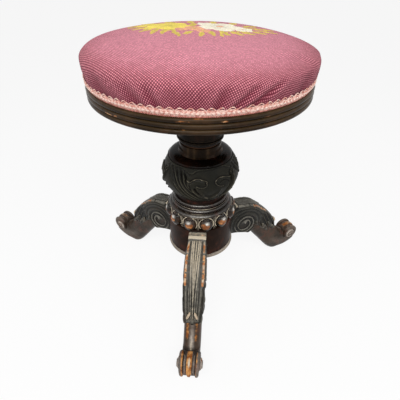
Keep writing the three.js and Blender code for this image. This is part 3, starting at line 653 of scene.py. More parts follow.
# Leaves and fronds: across, back, half length, half width and the way that each points
LEAVES = [
    (-97, 44, 16, 5, 190), (-92, 28, 17, 5, 205), (-84, 12, 17, 5, 225), (-72, -2, 17, 5, 240),
    (-60, -8, 16, 5, 258), (-47, -13, 17, 5, 268), (-31, -20, 15, 5, 290), (-38, -4, 14, 5, 305),
    (-14, -18, 13, 5, 250), (4, -22, 13, 5, 268), (17, -13, 16, 5, 285), (33, -6, 16, 6, 300),
    (47, 0, 17, 6, 315), (62, 7, 17, 6, 330), (77, 18, 17, 6, 345), (92, 32, 17, 6, 0), (92, 50, 16, 5, 15),
    (78, 46, 17, 6, 20), (70, 64, 17, 6, 45), (44, 76, 18, 6, 78), (14, 78, 16, 6, 95), (-20, 72, 18, 6, 100),
    (-52, 70, 18, 6, 125), (-80, 60, 18, 6, 150), (-13, 42, 15, 6, 92), (62, 42, 14, 6, 10),
    (-20, 28, 12, 5, 60), (-60, -22, 9, 3, 250), (30, -21, 10, 3.5, 285), (-24, -32, 8, 3, 280),
]


def posy_thread(x, y):
    """Which wool a stitch of the posy is worked in, at a place in millimetres from its middle, or None."""
    for wool in ("peach", "lemon", "cream"):
        for flower_x, flower_y, size, heart, turn in FLOWERS[wool]:
            reach = np.hypot(x - flower_x, y - flower_y)
            angle = math.atan2(y - flower_y, x - flower_x) + turn
            petal = size * (0.74 + 0.26 * abs(math.cos(angle * 2.5)) ** 0.7)
            if reach < petal:
                shade = abs(math.cos(angle * 2.5)) * 0.35 + 0.65 * reach / petal
                if reach < heart * 0.5:
                    return "peach" if wool == "cream" else "leaf", 0.6
                return wool, shade
    for leaf_x, leaf_y, size, width, turn in LEAVES:
        a = math.radians(turn)
        dx, dy = x - leaf_x, y - leaf_y
        along = (dx * math.cos(a) + dy * math.sin(a)) / size
        side = (-dx * math.sin(a) + dy * math.cos(a)) / width
        if abs(along) < 1 and abs(side) < (1 - along**2) * (0.8 + 0.2 * math.cos(along * 9)):
            return "leaf", 0.35 + 0.65 * min(1, abs(side) * 1.4)
    return None, 0.0


def crown_place(rings, reach, x, y):
    """Where a place of the flat canvas lies on the crown, with the ways across, back and out of the cover."""
    segments = rings.shape[1]
    angle = math.atan2(y, x) % (2 * math.pi)
    ring = np.interp(math.hypot(x, y), reach, np.arange(len(reach)))
    k = min(int(ring), len(reach) - 2)
    t = ring - k
    turn = angle / (2 * math.pi) * segments
    j = int(turn) % segments
    s = turn - int(turn)
    near, far = (rings[row, j] * (1 - s) + rings[row, (j + 1) % segments] * s for row in (k, k + 1))
    slope = rings[k + 1, j] - rings[k, j]
    slope /= max(np.linalg.norm(slope), 1e-9)
    normal = np.cross(slope, np.array([-math.sin(angle), math.cos(angle), 0.0]))
    normal *= np.sign(normal[2])
    east = np.array([1.0, 0, 0]) - normal * normal[0]
    east /= np.linalg.norm(east)
    return near * (1 - t) + far * t, east, np.cross(normal, east), normal


def posy_wool():
    """Wool in the colour that each stitch carries, with a little fuzz."""
    weave = Weave("posy_wool", Sheen_Weight=0.2)
    wool = weave.add("Attribute", attribute_name="wool").outputs["Color"]
    fuzz = weave.noise(1400.0, 3.0)
    tone = weave.mixed(1.0, wool, weave.mixed(fuzz, (0.82, 0.8, 0.78), (1.1, 1.1, 1.1)), "MULTIPLY")
    weave.bump(fuzz, 0.1 * MM, 0.5)
    return weave.finish(tone, weave.step(fuzz, 0.0, 1.0, 0.8, 0.95))


def posy_stitches(look, surface):
    """The posy as single raised stitches on the cushion's crown, each with its own wool colour."""
    grid, canvas_x, canvas_y = surface[:3]
    rng = np.random.default_rng(7)
    distance = np.hypot(canvas_x[:, 0], canvas_y[:, 0])
    order = np.argsort(distance)
    order = order[distance[order] < POSY_FIELD]
    rings, reach = grid[order], distance[order]
    pitch = look.stitch
    half_long, half_wide, lift = pitch * 0.56, pitch * 0.4, look.stitch_height * 1.1
    base = {name: np.array(tuple(getattr(look, name))) for name in ("lemon", "cream", "peach", "leaf")}
    points, faces, shades = [], [], []
    limit = int(POSY_FIELD / pitch)
    for row in range(-limit, limit + 1):
        for column in range(-limit, limit + 1):
            x = (column + row + 1) * pitch / math.sqrt(2)
            y = (column - row) * pitch / math.sqrt(2)
            if math.hypot(x, y) > POSY_REACH:
                continue
            wool, shade = posy_thread(x / MM, y / MM)
            if wool is None:
                continue
            here, east, north, normal = crown_place(rings, reach, x, y)
            slanted = (east * 0.91 + north * 0.41) * half_long
            crossing = (north * 0.91 - east * 0.41) * half_wide
            start = len(points)
            for share, stand in ((1.0, -0.15 * MM), (0.62, lift)):
                for turn in full_turn(6):
                    way = slanted * math.cos(turn) + crossing * math.sin(turn)
                    points.append(here + way * share + normal * stand)
            for a in range(6):
                b = (a + 1) % 6
                faces.append([start + a, start + b, start + 6 + b, start + 6 + a])
            faces.append([start + 6 + a for a in range(6)])
            shades.extend([base[wool] * (0.72 + 0.4 * shade) * rng.uniform(0.84, 1.12)] * 12)
    mesh = bpy.data.meshes.new("posy_stitches")
    mesh.from_pydata([tuple(p) for p in points], [], faces)
    mesh.polygons.foreach_set("use_smooth", np.ones(len(mesh.polygons), bool))
    layer = mesh.attributes.new("wool", "FLOAT_COLOR", "POINT")
    tones = np.concatenate([np.clip(np.array(shades), 0, 1), np.ones((len(shades), 1))], axis=1)
    layer.data.foreach_set("color", tones.astype(np.float32).ravel())
    place("posy_stitches", mesh, posy_wool(), "seat", "needlework")


class STOOL_OT_cushion(bpy.types.Operator):
    """Make the crowned needlework cushion with its gathers and its posy of flowers"""

    bl_idname = "stool.cushion"
    bl_label = "Cushion"

    def execute(self, context):
        look = context.scene.stool_seat
        surface = cushion_surface(look)
        grid, canvas_x, canvas_y, level, gathers = surface
        piece = Piece()
        piece.add(grid, caps=True)
        cushion = piece.make("needlework_cushion", needlework(look), "seat", "needlework",
                             "needlework_cover", "stuffing_pad")
        # Lighter towards the crown, darker low on the side and deep in the gathers: partly faded wool, partly
        # painted shade.
        fade = 0.04 + 0.34 * np.clip(level, 0, 1.0) ** 1.3 + 0.62 * smoothstep(level, 0.95, 1.9)
        fade = fade[:, None] - 0.35 * np.clip(gathers, -0.3, 1)
        marks = {"canvas_x": canvas_x, "canvas_y": canvas_y, "fade": np.clip(fade, 0, 1)}
        for name, values in marks.items():
            mark_points(cushion.data, name, np.broadcast_to(values, grid.shape[:2]))
        posy_stitches(look, surface)
        return {"FINISHED"}


def cord_rows(path, thickness):
    """Rows of a six-sided cord along a closed path."""
    path = np.asarray(path, float)
    ahead = np.roll(path, -1, axis=0) - np.roll(path, 1, axis=0)
    ahead /= np.linalg.norm(ahead, axis=1, keepdims=True)
    out = path - AXIS
    out[:, 2] = 0
    out /= np.linalg.norm(out, axis=1, keepdims=True)
    out -= ahead * np.sum(out * ahead, axis=1, keepdims=True)
    out /= np.linalg.norm(out, axis=1, keepdims=True)
    up = np.cross(ahead, out)
    turn = full_turn(6)
    ring = out[:, None, :] * np.cos(turn)[:, None] + up[:, None, :] * np.sin(turn)[:, None]
    return path[:, None, :] + ring * np.asarray(thickness)[..., None, None]


def braid_reach(height):
    """Radius of the cover's side behind the braid at a height."""
    below = np.clip((low("gimp_braid") + CUSHION_SIDE - height) / CUSHION_SIDE, 0, 1)
    return radius("needlework_cover") - CUSHION_TUCK * below**2 + 0.3 * MM


class STOOL_OT_braid(bpy.types.Operator):
    """Make the gimp braid: a band, two scalloped cords, a plaited middle, a row of pale knots across it and a
    row of knots at its foot
    """

    bl_idname = "stool.braid"
    bl_label = "Gimp braid"

    def execute(self, context):
        look = context.scene.stool_seat
        base, top = low("gimp_braid"), high("gimp_braid")
        count = look.scallops
        crest = base + 8.8 * MM
        salmon = look.braid_shade
        light = thread_cloth("braid_thread", look.braid, salmon, 2400.0, 0.52)
        shade = thread_cloth("braid_ground", salmon, shaded(salmon, 0.7))
        edge = thread_cloth("braid_edge", salmon, shaded(salmon, 0.5), 1600.0, 0.5)
        white = thread_cloth("braid_knots", look.braid_knot, look.braid, 1800.0)
        heights = np.linspace(base + 0.3 * MM, crest, 9)
        face = np.stack([braid_reach(heights) + 0.7 * MM, heights], axis=1)
        back = np.stack([braid_reach(heights[::-1]), heights[::-1]], axis=1)
        turned("braid_band", shade, "seat", "braid", ["gimp_braid"], np.vstack([face, back]), 240, along=True)
        turns = full_turn(count * 24)

        def cord(piece, height, proud, thickness):
            reach = braid_reach(height) + proud
            path = np.stack([reach * np.cos(turns), reach * np.sin(turns), height + 0 * turns], axis=1) + AXIS
            piece.add(cord_rows(path, thickness + 0 * turns), along=True)

        loops = Piece()
        arch = np.abs(np.sin(turns * count / 2)) ** 1.5
        cord(loops, crest - 0.6 * MM + (top - crest - 0.1 * MM) * arch, 0.7 * MM, 0.6 * MM)
        cord(loops, crest - 2.0 * MM + 1.7 * MM * arch, 1.0 * MM, 0.7 * MM)
        for share, plaits, thick in ((0.74, 4, 1.0), (0.5, 3, 1.05), (0.3, 4, 0.8)):
            for way in (1, -1):
                swing = np.sin(turns * count * plaits / 2) * way
                height = base + (crest - base) * share + swing * 0.75 * MM
                proud = (1.0 + 0.35 * np.cos(turns * count * plaits / 2) * way) * MM
                cord(loops, height, proud, thick * 0.68 * MM)
        loops.make("braid_loops", light, "seat", "braid")
        pearls = Piece()
        round_up = np.abs(np.sin(turns * count + 0.4)) ** 1.3
        cord(pearls, base + (crest - base) * 0.6, 1.1 * MM, 1.8 * MM * np.maximum(round_up, 0.08))
        pearls.make("braid_knots", white, "seat", "braid")
        knots = Piece()
        cord(knots, base + 0.9 * MM, 1.0 * MM, 1.0 * MM * (0.55 + 0.45 * np.abs(np.sin(turns * count * 2.5))))
        knots.make("braid_edge", edge, "seat", "braid")
        return {"FINISHED"}


class STOOL_OT_rim(bpy.types.Operator):
    """Turn the seat rim with its three reeds, and give the board below its sawn wood"""

    bl_idname = "stool.rim"
    bl_label = "Seat rim"

    def execute(self, context):
        look = context.scene.stool_wood
        bottom, top, reach = low("seat_rim"), high("seat_rim"), radius("seat_rim") + 0.4 * MM
        third = (top - bottom) / 3
        reeds = [bead(reach, 3.4 * MM, bottom + third * k, bottom + third * (k + 1)) for k in range(3)]
        inner = reach - 36.6 * MM
        rabbet = radius("seat_board") + 0.5 * MM
        ledge = top - (high("seat_board") - low("seat_board")) - 0.3 * MM
        inside = [[rabbet, top], [rabbet, ledge], [inner, ledge], [inner, bottom]]
        path = softened(np.vstack([[[inner, bottom]], *reeds, inside]), 0.5 * MM, 0.6 * MM)[:-1]
        angle = full_turn(360)
        scuff = np.zeros((len(path), 360))
        rng = np.random.default_rng(11)
        for _ in range(46):
            turn, level = rng.uniform(-math.pi, math.pi), rng.uniform(bottom, top)
            wide, tall = rng.uniform(0.02, 0.09), rng.uniform(0.8, 2.2) * MM
            off = np.angle(np.exp(1j * (angle - turn)))[None, :] / wide
            rise = (path[:, 1, None] - level) / tall
            scuff = np.maximum(scuff, rng.uniform(0.3, 0.55) * np.exp(-(off**2) - rise**2))
        # Painted sheen lightens the rim's upward faces.
        rim_wood = wood(
            "rim_wood", look, (34, 23, 12), (56, 39, 22), (0.22, 0.36), streaks=0.7, warm=0.12, rub=0.25,
            painted_sheen_tone=(104, 84, 54), edge=0.5, edge_tone=(112, 90, 62), hollow_shade=0.95, shine=0.1)
        turned("reeded_rim", rim_wood, "seat", "rim_wood", ["seat_rim"], path, 360, along=True,
               reach=1.2 * MM, bare=scuff)
        dress("seat_board", wood("board_wood", look, (120, 92, 62), (150, 118, 82), (0.6, 0.8), streaks=0.5))
        return {"FINISHED"}


COLLAR = 36.4 * MM  # radius of the black collar where it is straight


class STOOL_OT_collar(bpy.types.Operator):
    """Turn the black collar under the seat, with the bead that sits on the column's neck"""

    bl_idname = "stool.collar"
    bl_label = "Collar"

    def execute(self, context):
        look = context.scene.stool_wood
        bottom, top = low("seat_boss"), high("seat_boss")
        flare = radius("seat_boss")
        groove = bottom + 4.2 * MM
        rise = top - bottom
        cove = flowing([
            [COLLAR, bottom + 12 * MM], [COLLAR, bottom + rise * 0.5],
            [COLLAR + (flare - COLLAR) * 0.1, bottom + rise * 0.75], [flare - 3.2 * MM, top - 10 * MM]], 60)
        profile = np.vstack([
            [[34.4 * MM, groove - 0.6 * MM], [36.0 * MM, groove - 0.4 * MM]],
            bead(38.8 * MM, 2.8 * MM, groove, groove + 3.8 * MM, 10), [[35.6 * MM, groove + 4.3 * MM]],
            bead(36.9 * MM, 1.1 * MM, groove + 4.8 * MM, groove + 6.4 * MM, 6), [[COLLAR, groove + 6.9 * MM]],
            cove, [[flare, top - 10 * MM], [flare, top], [41 * MM, top]],
        ])
        profile = softened(profile, 0.5 * MM, 0.5 * MM)
        # Painted highlight along the crests of the collar's beads.
        crest = crest_of(profile) * (profile[:, 1] < groove + 7 * MM)
        black = wood("black_collar", look, (12, 10, 8), (30, 24, 18), (0.16, 0.32), streaks=0.2, warm=0.2,
                     rub=0.3, painted_sheen_tone=(120, 106, 92), hollow_shade=0.95, shine=0.04)
        turned("turned_collar", black, "seat", "black_wood", ["seat_boss"], profile, 128, reach=1.2 * MM,
               rub=crest[:, None])
        brown = wood("collar_foot", look, (22, 15, 11), (36, 24, 16), (0.16, 0.3), streaks=0.6, warm=0.3)
        profile = [[13 * MM, bottom], [35.6 * MM, bottom], [35.2 * MM, bottom + 1.6 * MM],
                   [34.8 * MM, groove], [13 * MM, groove]]
        turned("collar_foot", brown, "seat", "black_wood", [], softened(profile, 0.4 * MM, 0.6 * MM), 128)
        return {"FINISHED"}


# Column

BULB_RISE = 70.9 * MM
BULB_ARC = 62 * MM * math.radians(1)  # length of a degree round the bulb
BULB_SLOPE = 1.12  # length up the bulb's side for each length of its height
BULB_TURN = 4.65  # degrees that its carving stands round from the front leg
NECK = 35 * MM
SPIGOT = 28.4 * MM
BOSS_COUNT = 12

# Strokes of the bulb's carving, each a path of degrees round the bulb and shares of its height
LOBE = [(-20, 0.755), (-15, 0.73), (-11, 0.77), (-4, 0.81), (3, 0.78), (9, 0.75), (9, 0.70)]
HOOK = [(9, 0.70), (9, 0.65), (5, 0.61), (-1, 0.61), (-5, 0.64)]
SCROLL = [(34, 0.57), (27, 0.60), (23, 0.66), (22, 0.71), (25, 0.765), (32, 0.785), (40, 0.755), (49, 0.71)]
CRESCENT = [(-1, 0.54), (4, 0.38), (13, 0.29), (22, 0.34), (28, 0.46), (30, 0.60)]
HOLLOW = [(30, 0.68), (36, 0.71), (43, 0.66), (46, 0.56), (42, 0.46)]
EDGE = [(-60, 0.965), (-45, 0.97), (-34, 0.985), (-27, 0.965), (-19, 0.91), (-12, 0.90), (-6, 0.96),
        (14, 0.985), (40, 0.985), (48, 0.93), (54, 0.90), (60, 0.965)]
FEATHERS = [
    [(-58, 0.90), (-50, 0.74), (-40, 0.55), (-28, 0.32), (-16, 0.16)],
    [(-50, 0.92), (-42, 0.77), (-34, 0.58), (-22, 0.36), (-9, 0.18)],
    [(-41, 0.92), (-36, 0.78), (-29, 0.60), (-18, 0.40), (-3, 0.20)],
    [(-33, 0.93), (-29, 0.80), (-25, 0.65), (-14, 0.45), (2, 0.24)],
    [(-27, 0.90), (-22, 0.80), (-21, 0.66), (-13, 0.50), (-3, 0.36)],
    [(60, 0.88), (53, 0.72), (49, 0.52), (40, 0.34), (30, 0.20)],
    [(56, 0.86), (50, 0.80), (52, 0.66), (46, 0.46), (36, 0.30)],
    [(24, 0.20), (36, 0.17), (48, 0.30), (58, 0.48), (62, 0.62)],
    [(10, 0.14), (26, 0.10), (42, 0.16), (56, 0.30), (64, 0.44)],
    [(-20, 0.10), (-6, 0.10), (8, 0.16), (18, 0.20)],
    [(-17, 0.68), (-13, 0.53), (-6, 0.38), (5, 0.25)],
    [(-9, 0.60), (-6, 0.50), (0, 0.41)],
]


def bulb_carving(profile, angle, base, rise):
    """Carving on the bulb, three times round: swirling feathers, a lobed leaf, a scroll and a crescent."""
    share = np.clip((profile[:, 1] - base) / rise, 0, 1)[:, None]
    degrees = (np.degrees(angle) + 90 - BULB_TURN + 60) % 120 - 60
    arc = degrees[None, :] * BULB_ARC + 0 * share
    up = share * rise * BULB_SLOPE + 0 * arc

    def stroke(points, width, count=22):
        way = flowing([(a * BULB_ARC, s * rise * BULB_SLOPE) for a, s in points], count)
        gap, along = stroke_distance(arc, up, way)
        return hump(gap, width * MM), along

    ground = np.zeros_like(arc)
    line = np.zeros_like(arc)
    for points in FEATHERS:
        cut, along = stroke(points, 1.5)
        ground -= 2.8 * MM * cut * np.clip(np.minimum(along, 1 - along) * 9, 0, 1)
        ground += 1.6 * MM * stroke([(a + 3.6, s + 0.012) for a, s in points], 2.2)[0]
    for points, depth, worn in ((LOBE, 1.4, 0.5), (HOOK, 1.2, 0.0), (SCROLL, 1.5, 0.46)):
        ridge, along = stroke(points, 0.8, 40)
        outer = stroke(points, 2.4, 40)[0]
        ground += depth * MM * ridge - 1.1 * MM * outer * (1 - ridge)
        worn = worn * smoothstep(share, 0.66, 0.74) * smoothstep(ridge, 0.2, 0.8)
        line = np.maximum(line, worn * (0.7 + 0.3 * np.sin(along * 21)))
    moon, along = stroke(CRESCENT, 2.6)
    full = np.sin(np.clip(along, 0, 1) * math.pi)
    ground += 2.6 * MM * moon * full
    # The crescent's pale line is a painted highlight; the lines on the lobe and the scroll are worn edges.
    line = np.maximum(line, 0.28 * smoothstep(moon, 0.3, 0.95) * smoothstep(full, 0.3, 0.9))
    ground -= 1.6 * MM * stroke(HOLLOW, 1.2)[0]
    way = flowing(EDGE, 60)
    limit = np.interp(degrees, way[:, 0], way[:, 1])[None, :]
    border = smoothstep(limit - share, -0.012, 0.012)
    foot = smoothstep(share, 0.03, 0.12)
    ground = (ground - 1.1 * MM) * border * foot
    ground += 0.5 * MM * hump((limit - share) * rise, 0.9 * MM) * foot
    carved = (profile[:, 1] >= base)[:, None] & (profile[:, 1] <= base + rise)[:, None]
    return np.where(carved, ground, 0), line * border * foot


class STOOL_OT_vase(bpy.types.Operator):
    """Turn the column's vase and carve its bulb"""

    bl_idname = "stool.vase"
    bl_label = "Carved vase"

    def execute(self, context):
        look = context.scene.stool_wood
        base, top = high("base_moulding") + 0.3 * MM, high("column_vase")
        reach = radius("column_vase")
        shares = [(0.66, 0), (0.82, 0.135), (0.926, 0.283), (0.981, 0.427), (1, 0.55), (0.962, 0.715),
                  (0.892, 0.856), (0.809, 1)]
        bulb = flowing([(reach * r, base + BULB_RISE * z) for r, z in shares], 118)
        ground, line = bulb_carving(bulb, full_turn(540), base, BULB_RISE)
        matt = wood("carved_bulb", look, (25, 25, 20), (37, 35, 28), (0.36, 0.5), streaks=0.3, hollow_shade=0.95,
                    edge=0.5, edge_from=0.1, edge_tone=(88, 84, 70), shine=0.08)
        turned("carved_bulb", matt, "base", "carved_wood", ["column_vase"], bulb, 540, ground, reach=1.0 * MM,
               pale=line)
        angle = np.linspace(0, math.pi / 2, 16)
        inner, shoulder = NECK + 3.2 * MM, 53.8 * MM
        level = base + BULB_RISE + 7.2 * MM
        dome = np.stack([inner + (shoulder - inner) * np.cos(angle),
                         base + BULB_RISE + (level - base - BULB_RISE) * np.sin(angle)], axis=1)
        flare = NECK + (inner - NECK) * (1 - np.linspace(0, 1, 8)) ** 2
        foot = np.stack([flare, level + np.linspace(0, 6, 8) * MM], axis=1)
        profile = np.vstack([dome[:-1], foot[:1], [[SPIGOT, level]]])
        black = wood("polished_shoulder", look, (10, 6, 4), (26, 14, 8), (0.1, 0.2), streaks=0.5, warm=0.12,
                     shine=0.06)
        profile = softened(profile, 0.9 * MM, 0.8 * MM)
        turned("polished_shoulder", black, "base", "carved_wood", [], profile, 128)
        profile = np.vstack([[[SPIGOT, level - 2 * MM]], foot, [[NECK, top], [SPIGOT, top]]])
        around = full_turn(256)
        # Painted highlights: soft upright strokes of light on the polished neck.
        highlight_strokes = sum(hump(thirds(around) - spot, 0.07) for spot in (-0.52, -0.2, 0.42))
        polished = wood("polished_neck", look, (32, 22, 13), (56, 39, 24), (0.12, 0.24), streaks=0.5,
                        warm=0.2, rub=0.25, painted_sheen_tone=(120, 96, 70), shine=0.04)
        profile = softened(profile, 0.9 * MM, 0.8 * MM)
        turned("polished_neck", polished, "base", "carved_wood", [], profile, 256, rub=highlight_strokes[None, :])
        return {"FINISHED"}


class STOOL_OT_mouldings(bpy.types.Operator):
    """Turn the stacked rings under the vase, the drum, and the worn bead at its foot"""

    bl_idname = "stool.mouldings"
    bl_label = "Mouldings and drum"

    def execute(self, context):
        look = context.scene.stool_wood
        bottom, top = low("base_moulding"), high("base_moulding")
        levels = [bottom + (top - bottom) * share for share in (0, 0.16, 0.5, 0.74, 1)]
        core = 25 * MM
        profile = np.vstack([
            [[core, levels[0]], [57.6 * MM, levels[0]]],
            flowing([[58.3 * MM, levels[0] + 0.8 * MM], [57.4 * MM, levels[0] + 3.0 * MM],
                     [54.6 * MM, levels[1] + 0.6 * MM], [53.0 * MM, levels[1] + 1.0 * MM]], 14),
            [[51.6 * MM, levels[1] + 1.2 * MM]],
            bead(53.3 * MM, (levels[2] - levels[1]) / 2, levels[1] + 1.4 * MM, levels[2] - 1.2 * MM, 16),
            [[49.6 * MM, levels[2] - 0.8 * MM], [50.4 * MM, levels[2] - 0.4 * MM],
             [50.4 * MM, levels[2] + 0.5 * MM]],
            bead(49.6 * MM, (levels[3] - levels[2]) / 2, levels[2] + 0.6 * MM, levels[3] + 0.6 * MM, 14),
            [[45.2 * MM, levels[3] + 1.0 * MM], [core, levels[3] + 1.2 * MM]],
        ])
        profile = softened(profile, 0.35 * MM, 0.5 * MM)
        lines = np.zeros(len(profile))
        for reach, level in ((50.4, levels[2]), (53.0, levels[1] + 1.4 * MM), (58.2, levels[0] + 0.7 * MM)):
            lines += 0.8 * hump(np.hypot(profile[:, 0] - reach * MM, profile[:, 1] - level), 0.7 * MM)
        # Painted highlight: each bead's crest lightened all round, brightest above each leg; the cream lines
        # are brightened there too.
        crest = crest_of(profile) * (profile[:, 0] > 40 * MM)
        painted_highlight = 0.16 + 0.84 * hump(thirds(full_turn(160)), 0.34)
        gloss_wood = wood("polished_rings", look, (20, 14, 11), (36, 24, 18), (0.1, 0.18), streaks=0.2,
                          warm=0.4, rub=0.9, painted_sheen_tone=(176, 172, 164), hollow_shade=0.98, shine=0.22)
        turned("polished_rings", gloss_wood, "base", "red_wood", ["base_moulding"], profile, 160,
               pale=lines[:, None] * (0.4 + 0.6 * painted_highlight), rub=crest[:, None] * painted_highlight)
        profile = [[core, levels[3]], [45.0 * MM, levels[3]], [44.8 * MM, levels[3] + 1.6 * MM],
                   [44.4 * MM, levels[4]], [core, levels[4]]]
        dark_red = wood("recess_band", look, (20, 12, 9), (44, 25, 17), (0.2, 0.35), streaks=0.3, warm=0.6,
                        shine=0.06)
        turned("recess_band", dark_red, "base", "red_wood", [], softened(profile, 0.5 * MM, 0.7 * MM), 128)

        bottom, top = low("base_drum"), low("boss_ring") - 0.3 * MM
        reach = radius("base_drum")
        profile = [[0.2 * MM, bottom], [54 * MM, bottom], [54 * MM, bottom + 7 * MM],
                   [reach, bottom + 7.3 * MM], [reach, top], [30 * MM, top]]
        red_wood = wood("brown_drum", look, (34, 22, 16), (50, 33, 25), (0.3, 0.45), streaks=0.6, warm=0.35,
                        shine=0.04)
        profile = softened(profile, 0.6 * MM, 1.2 * MM)
        turned("red_drum", red_wood, "base", "red_wood", ["base_drum"], profile, 128)

        inner, top = 54.2 * MM, bottom + 6.9 * MM
        profile = np.vstack([[[inner, bottom]], bead(radius("drum_bead"), 2.8 * MM, bottom, top, 14),
                             [[inner, top], [inner, bottom]]])
        # Painted sheen on the bead's upper face.
        pale = wood("pale_bead", look, (120, 108, 94), (158, 146, 132), (0.35, 0.55), streaks=0.4, rub=0.4,
                    painted_sheen_tone=(190, 182, 172))
        turned("worn_bead", pale, "base", "pale_bead", ["drum_bead"],
               softened(profile, 0.5 * MM, 0.7 * MM)[:-1], 160, along=True)
        return {"FINISHED"}


class STOOL_OT_bosses(bpy.types.Operator):
    """Carve the ring of domed bosses with a double-ribbed tongue between each two"""

    bl_idname = "stool.bosses"
    bl_label = "Ring of bosses"

    def execute(self, context):
        look = context.scene.stool_wood
        bottom, top = low("boss_ring"), high("boss_ring")
        ring, inner = 57.5 * MM, 52 * MM
        profile = softened([
            [inner, bottom], [ring - 2.4 * MM, bottom], [ring - 1.2 * MM, bottom + 1.6 * MM],
            [ring - 1.4 * MM, top - 3.0 * MM], [ring - 0.6 * MM, top - 1.2 * MM], [ring - 1.0 * MM, top],
            [inner, top],
        ], 0.5 * MM, 0.5 * MM)
        centre = bottom + (top - bottom) * 0.47
        pitch = 2 * math.pi / BOSS_COUNT
        angle = full_turn(600)
        arc = ((angle + pitch) % pitch - pitch / 2) * ring
        height = (profile[:, 1] - centre)[:, None]
        far = np.hypot(arc / (12.0 * MM), height / (13.4 * MM))
        loop = (np.hypot(arc / (13.2 * MM), height / (14.8 * MM)) - 1) * 12 * MM
        between = ring * pitch / 2 - np.abs(arc)
        upper = smoothstep(height, -13 * MM, -6 * MM)
        dome = 10.4 * MM * np.clip(1 - far**2.2, 0, 1) ** 0.52 - 0.4 * MM * (far < 1.2)
        cord = 1.5 * MM * hump(loop, 0.8 * MM) * upper * (between > 1.0 * MM)
        rib = 2.4 * MM * hump(between - 1.3 * MM, 0.6 * MM) * smoothstep(height, -14.5 * MM, -12 * MM)
        band = smoothstep(profile[:, 0], 54.0 * MM, 55.4 * MM) * smoothstep(top - profile[:, 1], 0, 0.8 * MM)
        relief = np.maximum.reduce([dome, cord, rib]) * band[:, None]
        patch = np.sin(np.floor(angle / pitch) * 2.1 + 0.4)
        spot = np.hypot((arc + (1.6 + 2.2 * patch) * MM) / (8.4 * MM), (height - 1.4 * MM) / (7.6 * MM))
        bare = smoothstep(1.3 - spot, 0, 1.0) * (0.74 + 0.12 * patch)
        # Painted highlight: a white glint on the upper part of each dome, where the orange wear is left out.
        gleam = hump(arc, 3.0 * MM) * hump(height - 6.8 * MM, 2.6 * MM)
        pale = 0.72 * smoothstep(cord, 0.6 * MM, 1.1 * MM) + 0.6 * smoothstep(rib, 0.9 * MM, 1.8 * MM)
        carved = wood("carved_bosses", look, (26, 22, 17), (52, 38, 27), (0.1, 0.2), streaks=0.25, warm=0.3,
                      rub=1.0, painted_sheen_tone=(238, 234, 226), hollow_shade=0.95, shine=0.2,
                      worn=((122, 72, 38), (186, 124, 74)))
        turned("carved_bosses", carved, "base", "carved_wood", ["boss_ring"], profile, 600, relief,
               bare=bare * (far < 1) * (1 - gleam), pale=pale * (far > 1.0) * band[:, None], rub=gleam)
        return {"FINISHED"}


# Legs, each drawn along +X from the column's axis, in shares of its span and its rise

LEG_TOP = [(0, 1), (0.09, 0.982), (0.18, 0.954), (0.26, 0.936), (0.33, 0.9), (0.4, 0.838), (0.48, 0.762),
           (0.548, 0.68), (0.6, 0.6), (0.629, 0.53), (0.641, 0.468)]
LEG_UNDER = [(0, 0.605), (0.1, 0.583), (0.2, 0.55), (0.255, 0.528), (0.302, 0.568), (0.334, 0.618),
             (0.371, 0.597), (0.42, 0.535), (0.47, 0.485), (0.53, 0.45), (0.58, 0.428), (0.615, 0.428),
             (0.641, 0.452)]
SHAFT_TOP = [(0.3, 0.7), (0.4, 0.68), (0.5, 0.62), (0.58, 0.54), (0.63, 0.46), (0.69, 0.39), (0.739, 0.337),
             (0.776, 0.3)]
SHAFT_UNDER = [(0.25, 0.545), (0.3, 0.5), (0.34, 0.44), (0.38, 0.38), (0.44, 0.297), (0.494, 0.218),
               (0.542, 0.148), (0.595, 0.076), (0.648, 0.023)]
FOOT_UNDER = [(0.691, 0.0), (0.739, 0.0), (0.787, 0.0), (0.845, 0.016), (0.897, 0.053), (0.938, 0.1)]
VOLUTE = (0.197, 0.682)
LEG_ROOT = 57.6 * MM  # distance of a leg's root from the column's axis
LEG_REACH = 247.5 * MM  # distance of its foot's end
BAND_PITCH = 9.4 * MM  # of the bands that follow a head's back
FOOT_RADIUS = 20.8 * MM
FOOT_CENTRE = np.array([LEG_REACH - FOOT_RADIUS, 40.4 * MM])
# How far the scroll's rim lies below the back: distances from the axis and drops, in mm
RIM_DROP = ((57.6, 61, 65, 69, 74, 80, 94), (30, 25, 16, 10.5, 7, 4, 0))
# The scroll's turns: distance from its eye in mm, and the turn that is reached there
SCROLL_REACH = ((9, 13, 16.5, 17.5, 20, 26, 36, 47), (0.1, 0.45, 0.75, 1.0, 1.33, 2.08, 3.08, 4.08))
# The curled leaf at each side of the head: place, sizes in mm, tilt, how pale its painted highlight is, and
# the head's share there
CURLS = [
    ((0.35, 0.64), (7.5, 2.4, 3.0), -1.3, 0.26, 0.5), ((0.45, 0.55), (9.5, 3.0, 3.6), -1.25, 0.32, 0.6),
    ((0.49, 0.5), (10.5, 3.4, 4.0), -1.15, 0.24, 0.7), ((0.54, 0.53), (10.0, 3.2, 3.8), -1.05, 0.2, 0.78),
    ((0.597, 0.47), (10.0, 3.6, 4.2), -0.9, 0.26, 0.9),
]
# How worn each leg is: the right and the left edge of its head, its shaft and its foot; the shaft's number
# also sets how strong its painted highlight is
LEG_WEAR = {
    "leg_front": (1.0, 1.0, 1.0, 1.0),
    "leg_right": (0.1, 0.95, 0.42, 0.6),
    "leg_left": (0.75, 0.1, 0.1, 0.45),
}


